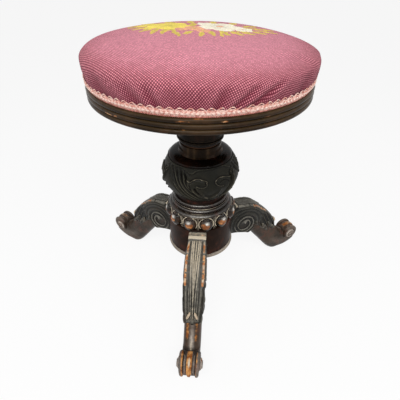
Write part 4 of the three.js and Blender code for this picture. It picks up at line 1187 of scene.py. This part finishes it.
class LegDraft:
    """A leg's sizes and its place, and the way from the leg's own plane into the part's frame."""

    def __init__(self, node):
        self.turn = math.radians(LEG_TURNS[node])
        self.rise = high(node)

    def at(self, shares):
        shares = np.asarray(shares, float)
        out = LEG_ROOT + shares[..., 0] * (LEG_REACH - LEG_ROOT)
        return np.stack([out, shares[..., 1] * self.rise], axis=-1)

    def placed(self, out, side, up):
        x = out * math.cos(self.turn) - side * math.sin(self.turn)
        y = out * math.sin(self.turn) + side * math.cos(self.turn)
        return np.stack([x, y, up + 0 * x], axis=-1) + AXIS


def half_width(share):
    """Half the width of a leg's head, from its root to its tip."""
    return np.interp(share, (0, 0.12, 0.3, 0.5, 0.8, 1.0), (17.3, 17.5, 18.8, 19.5, 17.2, 13.6)) * MM


def side_relief(out, up, gap_top, gap_low, centre, share):
    """Side of the head: a scroll that winds out of a flat eye, with bands beyond it that follow the back."""
    reach = np.hypot(out - centre[0], up - centre[1])
    turn = np.arctan2(up - centre[1], out - centre[0]) / (2 * math.pi)
    wound = np.interp(reach / MM, *SCROLL_REACH) + turn + 0.17
    phase = np.abs(wound - np.floor(wound) - 0.5)
    inner = smoothstep(1.95 - wound, 0, 0.3)
    coil = hump(phase, 0.27 - 0.13 * inner) * smoothstep(wound, 0.3, 0.5)
    near = smoothstep(41 * MM - reach, 0, 6 * MM)
    bands = hump(np.abs((gap_top / BAND_PITCH) % 1.0 - 0.5), 0.24) * (gap_top < 2 * BAND_PITCH)
    ridge = np.maximum(coil * near * (0.62 + 0.38 * inner), 0.7 * bands * (1 - near))
    beyond = smoothstep(share, 0.5, 0.66)
    feather = hump(np.abs(((out * 0.9 + up * 0.44) / (7.4 * MM)) % 1.0 - 0.5), 0.2)
    ridge = ridge * (1 - beyond) + 0.9 * feather * beyond
    low_edge = smoothstep(gap_low, 0.6 * MM, 2.6 * MM)
    # The lines are a painted highlight: bright on the scroll's inner coil, faint on the other ridges.
    lines = 0.9 * coil * inner + 0.14 * ridge + 0.02
    return (3.0 * ridge - 1.3) * MM * low_edge, lines * low_edge * (1 - beyond)


def face_relief(across, share):
    """Back of the head: a rolled cap, reeds that run together, wide hollows and notched border strips."""
    cap = np.sqrt(np.clip(1 - ((share - 0.062) / 0.05) ** 2, 0, 1)) + 0 * across
    below = smoothstep(share, 0.115, 0.135)
    close = 1 - 0.9 * smoothstep(share, 0.12, 0.8)
    reeds = np.zeros(np.broadcast(across, share).shape)
    for spot in (-0.25, 0.0, 0.25):
        width = 0.062 + 0.015 * close
        reeds = np.maximum(reeds, hump(across - spot * close, width))
    wings = hump(np.abs(across) - 0.44 * (0.5 + 0.5 * close), 0.085)
    hollow = hump(np.abs(across) - 0.62 + 0.1 * (1 - close), 0.07)
    end = smoothstep(0.63 - share, 0, 0.03)
    strip = smoothstep(0.15 - np.abs(np.abs(across) - 0.85), 0, 0.05) * end
    notch = np.zeros_like(reeds)
    for spot, lean in ((0.27, 0.02), (0.38, -0.02), (0.47, 0.02), (0.55, -0.02)):
        notch = np.maximum(notch, hump(share - spot - lean * np.abs(across), 0.007))
    strip = strip * (1 - 0.8 * notch)
    flutes = hump(np.abs(np.abs(across) - 0.62) - 0.16, 0.07) * smoothstep(share, 0.6, 0.68)
    ends = smoothstep(1 - share, 0, 0.05)
    lift = (1.9 * reeds + 1.7 * wings - 0.9 * hollow * (1 - 0.4 * smoothstep(share, 0.6, 0.7))) * MM
    lift = (lift + 1.9 * MM * strip + 1.3 * MM * flutes) * below * ends + 2.6 * MM * cap
    return lift, cap, *(form * below for form in (reeds, wings, strip, flutes))


def back_wear_and_light(across, share, forms, worn_right, worn_left):
    """Wear and painted light on a head's back: where it is bare, where pale marks and painted sheen lighten
    it, and how much painted shade its hollows take.
    """
    cap, reeds, wings, strip, flutes = forms
    upper_part = smoothstep(0.72 - share, 0, 0.4)
    cap_middle = hump(share - 0.062, 0.016)
    patchy = 0.75 + 0.25 * np.sin(share * 31 + 3 * np.sign(across))
    waves = smoothstep(0.5 + 0.5 * np.sin(share * 47 + 0.6), 0.4, 0.9)
    edges = strip * patchy * np.where(across < 0, worn_right, worn_left)
    # Painted light on the rolled cap, brighter on its outer half.
    cap_pale = cap * (0.58 - 0.26 * cap_middle + 0.6 * smoothstep(share, 0.07, 0.09))
    ridges = reeds + 0.8 * wings + 0.7 * flutes
    raised = reeds + wings + flutes + strip
    # The front leg is painted lighter on its upper part and darker in its lower hollows, as light from above
    # would fall; the side legs get even tones.
    if worn_right == worn_left:
        bare = edges * smoothstep(share, 0.12, 0.2) + 0.38 * cap * cap_middle
        pale = cap_pale + (0.42 + 0.36 * upper_part) * ridges + 0.5 * strip * waves
        rub = np.clip(0.6 + raised, 0, 1) * (0.62 + 0.38 * upper_part)
        dirt = 0.85 - 0.55 * upper_part + 0 * rub
    else:
        bare = edges * smoothstep(share, 0.3, 0.38)
        pale = 0.7 * (cap_pale + 0.26 * ridges) + 0.3 * strip * waves
        rub = 0.7 * np.clip(0.12 + raised, 0, 1)
        dirt = 0.8 + 0 * rub
    outer = np.maximum(smoothstep(0.97 - np.abs(across), 0, 0.06), cap > 0.3)
    return bare * outer, np.clip(pale, 0, 1) * outer, rub, dirt


def carve_head(draft, piece, worn_right, worn_left):
    """A leg's head: two scrolled sides, the reeded back between them and the plain underside."""
    count = 210
    top, under = flowing(draft.at(LEG_TOP), count), flowing(draft.at(LEG_UNDER), count)
    share = np.linspace(0, 1, count)[:, None]
    half = half_width(share)
    level = np.linspace(0.0, 1.0, 64)[None, :]
    drop = np.interp(top[:, 0] / MM, *RIM_DROP)[:, None] * MM
    rim = top - beside(0 * drop, drop)
    depth = np.linalg.norm(rim - under, axis=1)[:, None]
    side_out = under[:, 0:1] + (rim[:, 0:1] - under[:, 0:1]) * level
    side_up = under[:, 1:2] + (rim[:, 1:2] - under[:, 1:2]) * level
    gap_top = depth * (1 - level)
    relief, side_highlight = side_relief(side_out, side_up, gap_top, depth * level, draft.at(VOLUTE), share)
    eased = 2.2 * MM * np.clip(1 - gap_top / (2.4 * MM), 0, 1) ** 2
    flank = half - 1.2 * MM + relief * smoothstep(gap_top, 0.3 * MM, 2.6 * MM) - eased

    across = np.linspace(-1, 1, 112)[1:-1][None, :]
    aside = np.abs(across)
    normal = np.gradient(top, axis=0)
    normal = np.stack([-normal[:, 1], normal[:, 0]], axis=1)
    normal /= np.linalg.norm(normal, axis=1, keepdims=True)
    if normal[:, 1].mean() < 0:
        normal = -normal
    lift, *forms = face_relief(across, share)
    lift = lift - 1.8 * MM * aside**12 - 1.0 * MM * aside**3 * smoothstep(share, 0.1, 0.3)
    face_out = top[:, 0:1] + normal[:, 0:1] * lift
    face_up = top[:, 1:2] + normal[:, 1:2] * lift - drop * aside**5 * smoothstep(share, 0.1, 0.14)
    sole = np.linspace(-1, 1, 12)[1:-1][None, :]
    out = beside(side_out, face_out, side_out[:, ::-1], under[:, 0:1] + 0 * sole)
    spread = beside(flank, -across * (half - 1.5 * MM), -flank[:, ::-1], sole * half * 0.9)
    up = beside(side_up, face_up, side_up[:, ::-1], under[:, 1:2] + 0 * sole)

    bare, pale, rub, dirt = back_wear_and_light(across, share, forms, worn_right, worn_left)
    flat = 0 * sole + 0 * share
    corner = 0.7 * smoothstep(level, 0.93, 0.99) * smoothstep(share, 0.28, 0.36)
    corner = corner * smoothstep(0.64 - share, 0, 0.08)
    # On the sides, the scroll's lines are laid as a painted highlight, both as pale marks and as painted
    # sheen.
    piece.add(
        draft.placed(out, spread, up), caps=True, reach=1.0 * MM,
        bare=beside(worn_right * corner, bare, worn_left * corner[:, ::-1], flat),
        pale=beside(0.2 * side_highlight, pale, 0.2 * side_highlight[:, ::-1], flat),
        rub=beside(side_highlight, rub, side_highlight[:, ::-1], flat),
        dirt=beside(0 * side_highlight + 1, dirt, 0 * side_highlight + 1, flat + 1))


def carve_shaft(draft, piece, bright):
    """The smooth shaft under a leg's head, which runs on into the core of its foot."""
    sweep = np.radians(np.linspace(150, -35, 12))
    round_foot = FOOT_CENTRE + (FOOT_RADIUS - 2.4 * MM) * np.stack([np.cos(sweep), np.sin(sweep)], axis=1)
    top = np.vstack([flowing(draft.at(SHAFT_TOP), 70), flowing(round_foot, 61)[1:]])
    under = flowing(np.vstack([draft.at(SHAFT_UNDER), draft.at(FOOT_UNDER)]), len(top))
    under[:, 1] = np.maximum(under[:, 1], 0)
    middle = (top + under) / 2
    tall = np.linalg.norm(top - under, axis=1, keepdims=True)
    up_way = (top - under) / np.maximum(tall, 1e-9)
    share = np.linspace(0, 1, len(top))[:, None]
    turn = full_turn(56)
    power = 2 / 2.5
    lift = np.sign(np.sin(turn)) * np.abs(np.sin(turn)) ** power
    spread = np.sign(np.cos(turn)) * np.abs(np.cos(turn)) ** power
    out = middle[:, 0:1] + up_way[:, 0:1] * tall / 2 * lift
    up = middle[:, 1:2] + up_way[:, 1:2] * tall / 2 * lift
    side = (15.2 + 1.4 * smoothstep(0.4 - share, 0, 0.3)) * MM * spread
    upper = lift > 0
    flanks = (hump(spread + 0.5, 0.24) + 0.8 * hump(spread - 0.48, 0.2)) * upper
    worn = bright * 0.6 * flanks * smoothstep(share, 0.12, 0.24) * smoothstep(0.545 - share, 0, 0.07)
    # Painted highlight: a light band down the shaft's middle, stronger towards the foot and on brighter legs,
    # with its brightest spot laid as pale; less bright legs also get a light band along the side.
    toward_foot = 0.3 + 0.7 * smoothstep(share, 0.4, 0.5)
    rub = 0.05 + toward_foot * (0.2 + 0.8 * bright) * hump(spread - 0.02, 0.22) * upper
    rub = rub + 0.2 * hump(lift + 0.15, 0.3) * (1 - bright) * smoothstep(share, 0.35, 0.6)
    gleam = 0.55 * bright * hump(spread - 0.02, 0.16) * upper * smoothstep(share, 0.46, 0.51)
    piece.add(draft.placed(out, side, np.maximum(up, 0)), caps=True, bare=worn, pale=gleam,
              rub=np.clip(rub, 0, 1))


def carve_foot(draft, piece, bright):
    """A foot's scroll: a rib along its middle, one along each edge, and grooves between them."""
    sides = np.linspace(-1, 1, 90)[None, :]
    aside = np.abs(sides)
    degrees = np.linspace(205, -80, 110)[:, None]
    turn = np.radians(degrees)
    half = np.interp(degrees, (-80, 0, 60, 205), (14.6, 15.8, 17.2, 17.4)) * MM
    middle = 0.26 * (1 - 0.85 * smoothstep(20 - degrees, 0, 85))
    centre_rib = smoothstep(middle + 0.05 - aside, 0, 0.1) * (1 - 0.3 * (sides / 0.3) ** 2)
    centre_rib = centre_rib.clip(0, 1)
    outer_rib = smoothstep(aside - 0.58, 0, 0.1) * (1 - 0.25 * ((aside - 0.8) / 0.2) ** 2)
    ribs = np.maximum(centre_rib, outer_rib.clip(0, 1))
    wind = 1 - 0.14 * np.linspace(1, 0, 110)[:, None] ** 2
    reach = (FOOT_RADIUS - 1.2 * MM) * wind + 2.9 * MM * ribs - 1.7 * MM - 1.6 * MM * aside**16
    closing = sides[:, ::-1][:, 1:-1]
    inner = 5 * MM + 0 * closing
    out = FOOT_CENTRE[0] + beside(reach * np.cos(turn), inner * np.cos(turn))
    up = np.maximum(FOOT_CENTRE[1] + beside(reach * np.sin(turn), inner * np.sin(turn)), 0.4 * MM)
    spread = beside(half * sides, half * 0.9 * closing)
    front = smoothstep(degrees, -70, -40) * smoothstep(150 - degrees, 0, 40)
    inner_edge = (0.6 - 0.15 * np.sign(sides)) * hump(aside - 0.7, 0.1)
    worn = (0.95 * centre_rib + inner_edge) * front * bright
    # Painted highlight down the middle rib, and painted sheen on the ribs and along the grooves.
    gleam = 0.8 * hump(sides, 0.12) * hump(degrees - 64, 24)
    rub = (0.3 * ribs + 0.42 * hump(aside - 0.43, 0.08)) * front
    flat = 0 * closing + 0 * turn
    piece.add(draft.placed(out, spread, up), caps=True, rub=beside(rub, flat),
              dirt=beside(0 * rub + 0.35, flat + 1), bare=beside(worn, flat), pale=beside(gleam, flat))


def carve_button(draft, piece, direction, bright):
    """The round button at one side of a foot: a flat ring round a low dome with a wound line."""
    rings = np.concatenate([np.linspace(1.22, 1.0, 8), np.linspace(1, 0, 30)[1:]])[:, None]
    angle = full_turn(64)
    far = 9.6 * MM * rings + 0 * angle
    wound = np.log(np.maximum(far, 0.4 * MM) / (2.6 * MM)) / math.log(1.9)
    wound = wound - direction * angle / (2 * math.pi)
    coil = hump(np.abs(wound - np.floor(wound) - 0.5), 0.2) * smoothstep(far, 1.2 * MM, 3 * MM)
    lip = hump(rings - 0.93, 0.07)
    shape = np.interp(rings, (0.68, 0.8, 1.0, 1.22), (1.0, 0.66, 0.36, 0.0))
    height = 16.0 + 3.6 * shape + 0.9 * np.sqrt(1 - np.clip(rings, 0, 1) ** 2) + lip
    height = height + 1.1 * coil * smoothstep(1 - rings, 0.02, 0.14)
    base = np.full((1, 64), 8.0)
    far = np.vstack([far[:1], far])
    out, up = FOOT_CENTRE[0] + far * np.cos(angle), FOOT_CENTRE[1] + far * np.sin(angle)
    # Painted sheen on the button's lip and wound line.
    piece.add(draft.placed(out, direction * np.vstack([base, height]) * MM, up), caps=True, reach=0.8 * MM,
              rub=np.vstack([0 * base, 0.25 + 0.75 * lip + 0.55 * coil]),
              bare=np.vstack([0 * base, 0.3 * lip + 0.275 * coil]) * bright)


def pebble(draft, piece, centre, sizes, tilt=0.0, curl=0.0, splay=0.0, bare=0.0, pale=0.0):
    """A small carved lobe: an egg with a groove down its back, laid in the leg's plane."""
    rings = np.linspace(0.02, 0.98, 22) * math.pi
    angle = full_turn(28)
    x = np.cos(rings)[:, None] + 0 * angle
    flat = np.sin(rings)[:, None]
    back = np.abs(np.angle(np.exp(1j * (angle - math.pi / 2))))
    groove = 1 - 0.2 * hump(back, 0.3)
    y = flat * np.cos(angle) * groove
    z = flat * np.sin(angle) * groove + curl * x**2
    x, y, z = x * sizes[0] * MM, (y * sizes[1] + x * sizes[0] * splay) * MM, z * sizes[2] * MM
    c, s = math.cos(tilt), math.sin(tilt)
    out = centre[0] + x * c - z * s
    up = centre[2] + x * s + z * c
    spread = centre[1] + y
    piece.add(draft.placed(out, spread, up), caps=True, bare=bare, pale=pale)


def carve_leaves(draft, piece):
    """The curled leaves along both sides of a leg's head, and the bud at its tip."""
    tip = draft.at((0.634, 0.553))
    for direction in (1, -1):
        for shares, size, tilt, pale, along in CURLS:
            out, up = draft.at(shares)
            side = direction * (half_width(along) - 2.0 * MM)
            pebble(draft, piece, (out, side, up), size, tilt, curl=0.3, pale=pale)
        pebble(draft, piece, (tip[0], direction * 6.6 * MM, tip[1]), (6.4, 2.2, 3.2), -1.1, curl=-0.3,
               splay=direction * 0.42, bare=0.5, pale=0.55)
    out, up = draft.at((0.636, 0.47))
    pebble(draft, piece, (out, 0, up), (6.0, 3.6, 4.0), -1.1)


class STOOL_OT_legs(bpy.types.Operator):
    """Carve the three scrolled legs: reeded backs, volutes, curled leaves and ribbed foot scrolls"""

    bl_idname = "stool.legs"
    bl_label = "Legs"

    def execute(self, context):
        look = context.scene.stool_wood
        # Both woods take a painted sheen (silver on the heads, a pale tone on the shafts) and painted shade
        # in their hollows.
        carved = wood("carved_heads", look, (27, 27, 22), (42, 39, 32), (0.22, 0.36), streaks=0.4, warm=0.15,
                      rub=0.9, hollow_shade=0.95, edge=0.25, edge_from=0.16, edge_tone=(120, 116, 104), shine=0.14)
        plain = wood("leg_shafts", look, (38, 28, 20), (64, 48, 36), (0.22, 0.36), streaks=0.45, warm=0.5,
                     rub=0.75, painted_sheen_tone=(214, 202, 190), hollow_shade=0.95, shine=0.06,
                     worn=((136, 80, 40), (206, 148, 88)))
        for node, (right_edge, left_edge, shaft, foot_wear) in LEG_WEAR.items():
            draft = LegDraft(node)
            head = Piece()
            carve_head(draft, head, right_edge, left_edge)
            carve_leaves(draft, head)
            head.make("carved_" + node, carved, "base", "leg_wood", node)
            foot = Piece()
            carve_shaft(draft, foot, shaft)
            carve_foot(draft, foot, foot_wear)
            for direction in (1, -1):
                carve_button(draft, foot, direction, foot_wear)
            foot.make("foot_of_" + node, plain, "base", "leg_wood")
        return {"FINISHED"}


class STOOL_OT_ironwork(bpy.types.Operator):
    """Finish the screw, nut, flange, plate, pins, screws and leather washer"""

    bl_idname = "stool.ironwork"
    bl_label = "Ironwork"

    def execute(self, context):
        look = context.scene.stool_wood
        finishes = {
            "iron": metal("oiled_iron", (66, 62, 60), (92, 84, 78), (0.4, 0.65), 0.85),
            "steel": metal("greased_steel", (150, 146, 140), (116, 108, 100), (0.22, 0.45), 1.0),
            "leather": wood("waxed_leather", look, (72, 46, 30), (98, 66, 44), (0.5, 0.7)),
        }
        for part in frame["record"]["subparts"]:
            if part["material_slot"] in finishes:
                dress(part["node"], finishes[part["material_slot"]])
        return {"FINISHED"}


# Stage

IMAGE_WIDTH = 400
CAMERA_REACH = 490.36 * MM  # distance of the camera from the stool's axis
CAMERA_HEIGHT = 577.31 * MM
CAMERA_SWING = math.radians(4.6469)  # how far round to the right of the front it stands
CAMERA_TILT = 0.6522  # radians that it looks down
CAMERA_ROLL = -0.0031


def seen_by(tree, first, *others):
    """One for the kinds of ray that are named, and nothing for the rest."""
    path = add_node(tree, "LightPath").outputs
    seen = path[first]
    for ray in others:
        seen = add_node(tree, "Math", {0: seen, 1: path[ray]}, operation="MAXIMUM").outputs[0]
    return seen


class STOOL_OT_stage(bpy.types.Operator):
    """Set the pale floor, the soft lamps and the camera"""

    bl_idname = "stool.stage"
    bl_label = "Stage"

    def execute(self, context):
        scene = context.scene
        look = scene.stool_stage
        floor_mesh = bpy.data.meshes.new("floor")
        floor_mesh.from_pydata([(-6, -6, 0), (6, -6, 0), (6, 6, 0), (-6, 6, 0)], [], [(0, 1, 2, 3)])
        floor = bpy.data.objects.new("floor", floor_mesh)
        scene.collection.objects.link(floor)
        paper = bpy.data.materials.new("paper")
        paper.use_nodes = True
        tree = paper.node_tree
        tree.nodes.clear()
        flat = add_node(tree, "BsdfDiffuse", {"Color": look.floor}).outputs[0]
        glow = add_node(tree, "Emission", {"Color": (1, 1, 1)}).outputs[0]
        seen = seen_by(tree, "Is Camera Ray", "Is Glossy Ray")
        share = add_node(tree, "Math", {0: seen, 1: 0.88}, operation="MULTIPLY").outputs[0]
        mix = add_node(tree, "MixShader", {0: share, 1: flat, 2: glow}).outputs[0]
        add_node(tree, "OutputMaterial", {0: mix})
        floor_mesh.materials.append(paper)

        world = bpy.data.worlds.new("studio")
        world.use_nodes = True
        scene.world = world
        tree = world.node_tree
        back = tree.nodes["Background"]
        back.inputs["Color"].default_value = (1, 1, 1, 1)
        seen = seen_by(tree, "Is Camera Ray", "Is Transmission Ray", "Is Glossy Ray")
        strength = add_node(tree, "MapRange", {0: seen, 3: look.sky, 4: 1.0})
        tree.links.new(strength.outputs[0], back.inputs["Strength"])

        for name, place_at, width, height, power in (
            ("key_lamp", (0.05, -1.0, 1.4), 1.5, 0.3, look.key),
            ("left_lamp", (-1.3, -0.5, 0.9), 0.8, 0.8, look.side),
            ("right_lamp", (1.3, -0.5, 0.9), 0.8, 0.8, look.side),
        ):
            lamp = bpy.data.lights.new(name, "AREA")
            lamp.shape = "RECTANGLE"
            lamp.size = width
            lamp.size_y = height
            lamp.energy = power
            holder = bpy.data.objects.new(name, lamp)
            holder.location = place_at
            holder.rotation_mode = "QUATERNION"
            holder.rotation_quaternion = (Vector((0, 0, 0.25)) - Vector(place_at)).to_track_quat("-Z", "Y")
            scene.collection.objects.link(holder)

        lens = bpy.data.cameras.new("camera")
        lens.lens = look.lens
        lens.sensor_width = 36
        lens.clip_start = 0.01
        lens.shift_x = -0.5 / IMAGE_WIDTH
        camera = bpy.data.objects.new("camera", lens)
        scene.collection.objects.link(camera)
        reach = CAMERA_REACH * Vector((math.sin(CAMERA_SWING), -math.cos(CAMERA_SWING), 0))
        camera.location = Vector(AXIS) + reach + Vector((0, 0, CAMERA_HEIGHT))
        camera.rotation_euler = Euler((math.pi / 2 - CAMERA_TILT, 0.0, CAMERA_SWING), "XYZ")
        camera.rotation_euler.rotate_axis("Z", CAMERA_ROLL)
        scene.camera = camera
        scene.view_settings.view_transform = "Standard"
        return {"FINISHED"}


OPERATORS = (
    STOOL_OT_cushion, STOOL_OT_braid, STOOL_OT_rim, STOOL_OT_collar, STOOL_OT_vase, STOOL_OT_mouldings,
    STOOL_OT_bosses, STOOL_OT_legs, STOOL_OT_ironwork, STOOL_OT_stage,
)


class STOOL_PT_panel(bpy.types.Panel):
    """Lists the stool's sizes, colours and pieces"""

    bl_idname = "STOOL_PT_panel"
    bl_label = "Revolving piano stool"
    bl_space_type = "VIEW_3D"
    bl_region_type = "UI"
    bl_category = "Stool"

    def draw(self, context):
        for look in (context.scene.stool_seat, context.scene.stool_wood, context.scene.stool_stage):
            column = self.layout.column()
            for name in look.__annotations__:
                column.prop(look, name)
        for operator in OPERATORS:
            self.layout.operator(operator.bl_idname)


LOOKS = {"stool_seat": SeatLook, "stool_wood": WoodLook, "stool_stage": StageLook}


def register():
    for group in (*LOOKS.values(), *OPERATORS, STOOL_PT_panel):
        bpy.utils.register_class(group)
    for name, look in LOOKS.items():
        setattr(bpy.types.Scene, name, PointerProperty(type=look))


def unregister():
    for name in LOOKS:
        delattr(bpy.types.Scene, name)
    for group in (STOOL_PT_panel, *reversed(OPERATORS), *reversed(list(LOOKS.values()))):
        bpy.utils.unregister_class(group)


def main():
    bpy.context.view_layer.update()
    register()
    for operator in OPERATORS:
        prefix, name = operator.bl_idname.split(".")
        getattr(getattr(bpy.ops, prefix), name)()


if __name__ == "__main__":
    main()
